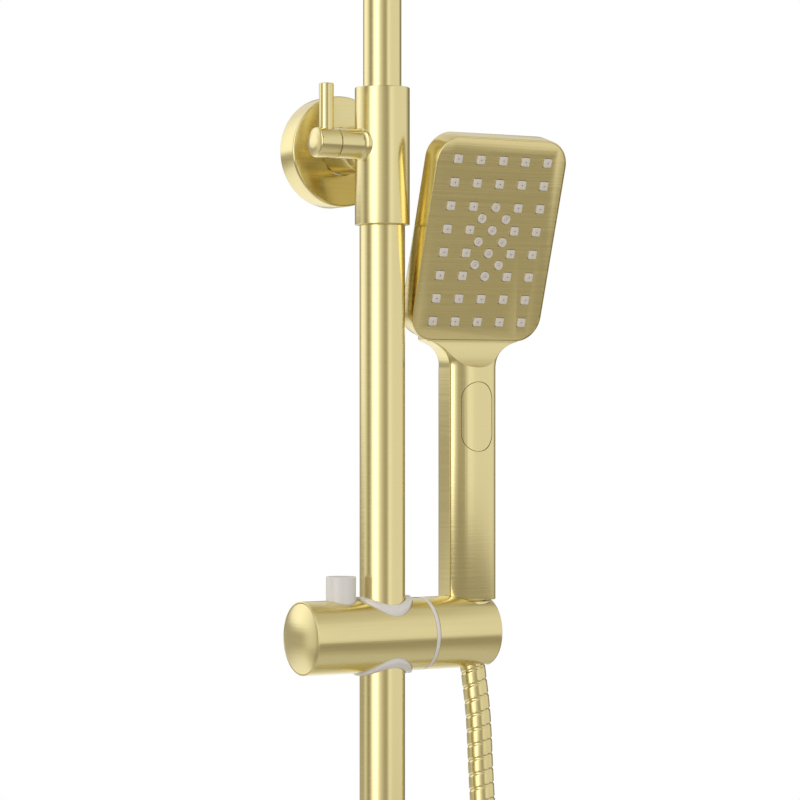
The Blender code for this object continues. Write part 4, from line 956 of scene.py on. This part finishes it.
def mode_piece():
    """The long button, cut from the handle's own bowed front."""
    front = at(SEAT_X, RAIL_Y, MODE_Z, TO_FRONT)
    outline = rounded(MODE_WIDTH, MODE_HEIGHT, MODE_WIDTH / 2 - 0.0001, 16)
    button = block("oblong_button", outline, 0.0041, 0.0200, front)
    form = block("form", handle_section(), MODE_Z - 0.03, MODE_Z + 0.03,
                 at(SEAT_X, RAIL_Y + 0.0002, 0))
    boolean(button, [form], "INTERSECT")
    place_piece(button, GOLD, "mode", ["mode_button"], 40)


def cone_nut():
    """The hose's conical nut, which fills the holder's bore under the handset."""
    top, bottom = SEAT_Z - 0.0004, SLIDER_Z - 0.0050
    slope = (BORE_TOP_R - BORE_BOTTOM_R) / 0.0295
    top_r = BORE_TOP_R - 0.0005
    cone_top = top - 0.0029
    bottom_r = top_r - slope * (cone_top - bottom)
    nut = lathe("cone_nut", [
        (0.0082, top), (top_r, top, 0.0004), (top_r, cone_top), (bottom_r, bottom, 0.0006),
        (0.0046, bottom), (0.0046, bottom + 0.0016), (0.0082, bottom + 0.0016)],
        at(SEAT_X, SEAT_Y, 0), True)
    place_piece(nut, GOLD, "handset", ["hose_cone_nut"])


holder_pieces()
handset_shell()
spray_face()
mode_piece()
cone_nut()

# ---- springs ---------------------------------------------------------------------------------
def spring(name, node, axis, from_high, body):
    """A coil spring in the space of the CAD's own."""
    low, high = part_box(node)
    middle = (low + high) / 2
    length = high[axis] - low[axis]
    across = (high[(axis + 1) % 3] - low[(axis + 1) % 3]) / 2
    wire = 0.0004
    reach = length - 2 * wire
    points = []
    for i in range(5 * 24 + 1):
        angle = 2 * pi * i / 24
        share = i / (5 * 24)
        place = Vector((0, 0, 0))
        place[axis] = low[axis] + wire + reach * share
        place[(axis + 1) % 3] = middle[(axis + 1) % 3] + (across - wire) * cos(angle)
        place[(axis + 2) % 3] = middle[(axis + 2) % 3] + (across - wire) * sin(angle)
        points.append(place)
    piece = swept(name, points, wire, 10)
    place_piece(piece, STEEL, body, [node])
    anchor = Vector(middle)
    anchor[axis] = high[axis] if from_high else low[axis]
    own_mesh(piece)


spring("button_coil", "button_spring", 2, False, "slider")
spring("brake_coil", "brake_spring", 0, False, "slider")
spring("mode_coil", "mode_spring", 1, True, "handset")

# ---- the CAD's own pieces that stay ----------------------------------------------------------
KEPT = {
    GOLD: ("hose_hex_nut", "hose_lower_ferrule"),
    BRASS: ("diverter_stem", "handset_inlet", "hose_outlet", "inlet_union"),
    STEEL: ("handle_grub_screw", "holder_axle", "lower_mount_plate", "mount_screw_left",
            "mount_screw_right", "spring_washer"),
    WHITE: ("ball_seat_ring", "diverter_cartridge", "inner_waterway"),
    DARK: ("brake_shoe",),
    RUBBER: ("hose_lower_washer", "hose_washer", "inlet_washer", "rail_grip_ring", "rail_o_ring",
             "rain_washer", "riser_o_ring"),
}
for look, names in KEPT.items():
    for name in names:
        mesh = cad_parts[name].data
        mesh.materials.clear()
        mesh.materials.append(look)

# ---- floor, world and light ------------------------------------------------------------------
FLOOR_Z = -1.78
FLOOR_R = 1.30
floor = lathe("floor", [(0, FLOOR_Z), (FLOOR_R, FLOOR_Z, 0.002), (FLOOR_R, FLOOR_Z - 0.02),
                        (0, FLOOR_Z - 0.02)], at(0, -0.25, 0), sides=128)
pale, pale_tree, pale_core = shader("pale_floor", (0.80, 0.80, 0.79), 0.60, 0.0)
bumped(pale_tree, pale_core, noise(pale_tree, 60.0, 2.0), 0.02, 0.001)
floor.data.materials.append(pale)

# Light round the object by direction: share of the way round from behind the camera, and strength.
ROUND = (
    (-180, 0.85), (-150, 0.95), (-135, 1.15), (-118, 1.35), (-104, 1.20), (-93, 0.92), (-84, 0.60),
    (-75, 0.34), (-67, 0.40), (-59, 0.75), (-51, 1.40), (-43, 2.10), (-34, 2.40), (-26, 1.90),
    (-17, 1.15), (-9, 0.86), (0, 0.68), (8, 0.52), (16, 0.42), (23, 0.44), (29, 0.70), (36, 1.08),
    (43, 1.05), (53, 0.90), (70, 0.88), (100, 0.88), (118, 0.90), (129, 0.60), (138, 0.46),
    (150, 0.60), (166, 0.80),
)
STRONGEST = 2.5


def studio_world():
    """A soft studio: tall pale cards round the object, darker below the horizon, white behind."""
    world = bpy.data.worlds.new("studio")
    bpy.context.scene.world = world
    world.use_nodes = True
    tree = world.node_tree
    tree.nodes.clear()
    new = tree.nodes.new
    link = tree.links.new

    def maths(operation, first, second=None, third=None):
        node = new("ShaderNodeMath")
        node.operation = operation
        for socket, value in zip(node.inputs, (first, second, third)):
            if isinstance(value, (int, float)):
                socket.default_value = value
            elif value is not None:
                link(value, socket)
        return node.outputs[0]

    def ramp(value, stops):
        node = new("ShaderNodeValToRGB")
        link(value, node.inputs["Fac"])
        elements = node.color_ramp.elements
        for i, (place, level) in enumerate(stops):
            element = elements[i] if i < 2 else elements.new(place)
            element.position = place
            shade = level / STRONGEST
            element.color = (shade, shade, shade, 1)
        return node.outputs["Color"]

    coordinates = new("ShaderNodeTexCoord")
    axes = new("ShaderNodeSeparateXYZ")
    link(coordinates.outputs["Generated"], axes.inputs[0])
    x, y, z = axes.outputs
    to_camera = (-ahead).xy
    camera_azimuth = acos(to_camera.x / to_camera.length) * (-1 if to_camera.y < 0 else 1)
    azimuth = maths("ARCTAN2", y, x)
    start = 0.5 - camera_azimuth / (2 * pi)
    turned = maths("FRACT", maths("MULTIPLY_ADD", azimuth, 1 / (2 * pi), start))
    around = ramp(turned, [((a + 180) / 360, level) for a, level in ROUND])
    high = ramp(maths("MULTIPLY_ADD", z, 0.5, 0.5), [
        (0.0, 1.0), (0.55, 1.0), (0.80, 0.95), (0.92, 0.72), (1.0, 0.65)])
    above = maths("MULTIPLY", maths("MULTIPLY", around, high), STRONGEST**2)
    behind = maths("MULTIPLY", STRONGEST, ramp(turned, [
        (0.0, 0.80), (0.08, 0.70), (0.13, 0.0), (0.86, 0.0), (0.92, 0.70), (1.0, 0.80)]))
    lifted = new("ShaderNodeMapRange")
    lifted.inputs["From Min"].default_value = sin(radians(20.0))
    lifted.inputs["From Max"].default_value = sin(radians(10.0))
    link(z, lifted.inputs["Value"])
    shaded = maths("MULTIPLY", behind, lifted.outputs["Result"])
    above = maths("MULTIPLY", above, maths("SUBTRACT", 1.0, shaded))
    back_left = ramp(turned, [
        (0.0, 1.0), (0.06, 1.0), (0.20, 1.0), (0.25, 0.0), (0.95, 0.0), (1.0, 1.0)])
    low_plain = ramp(maths("MULTIPLY_ADD", z, 0.5, 0.5), [
        (0.0, 0.72), (0.08, 0.70), (0.16, 0.56), (0.24, 0.42), (0.30, 0.37), (0.45, 0.355)])
    low_left = ramp(maths("MULTIPLY_ADD", z, 0.5, 0.5), [
        (0.0, 0.9), (0.26, 1.15), (0.36, 1.0), (0.43, 0.46), (0.52, 0.42)])

    def horizon(first, last):
        node = new("ShaderNodeMapRange")
        node.interpolation_type = "SMOOTHSTEP"
        node.inputs["From Min"].default_value = sin(radians(first))
        node.inputs["From Max"].default_value = sin(radians(last))
        link(z, node.inputs["Value"])
        return node.outputs["Result"]

    def split(low, edge):
        under = maths("MULTIPLY", low, STRONGEST)
        return maths("MULTIPLY_ADD", maths("SUBTRACT", above, under), edge, under)

    share = maths("MULTIPLY", back_left, STRONGEST)
    plain_level = split(low_plain, horizon(-13.5, -7.5))
    left_level = split(low_left, horizon(-1.0, 4.0))
    level = maths("MULTIPLY_ADD", maths("SUBTRACT", left_level, plain_level), share, plain_level)
    warmth = new("ShaderNodeMapRange")
    warmth.inputs["From Min"].default_value = 0.34
    warmth.inputs["From Max"].default_value = 0.95
    link(level, warmth.inputs["Value"])
    tint = new("ShaderNodeMix")
    tint.data_type = "RGBA"
    tint.inputs["A"].default_value = (1.0, 0.93, 0.76, 1)
    tint.inputs["B"].default_value = (1.0, 1.0, 1.0, 1)
    link(warmth.outputs["Result"], tint.inputs["Factor"])
    light = new("ShaderNodeBackground")
    link(tint.outputs["Result"], light.inputs["Color"])
    link(level, light.inputs["Strength"])
    plain = new("ShaderNodeBackground")
    plain.inputs["Color"].default_value = (1, 1, 1, 1)
    plain.inputs["Strength"].default_value = 1.0
    ray = new("ShaderNodeLightPath")
    mix = new("ShaderNodeMixShader")
    link(ray.outputs["Is Camera Ray"], mix.inputs["Fac"])
    link(light.outputs[0], mix.inputs[1])
    link(plain.outputs[0], mix.inputs[2])
    output = new("ShaderNodeOutputWorld")
    link(mix.outputs[0], output.inputs["Surface"])


studio_world()
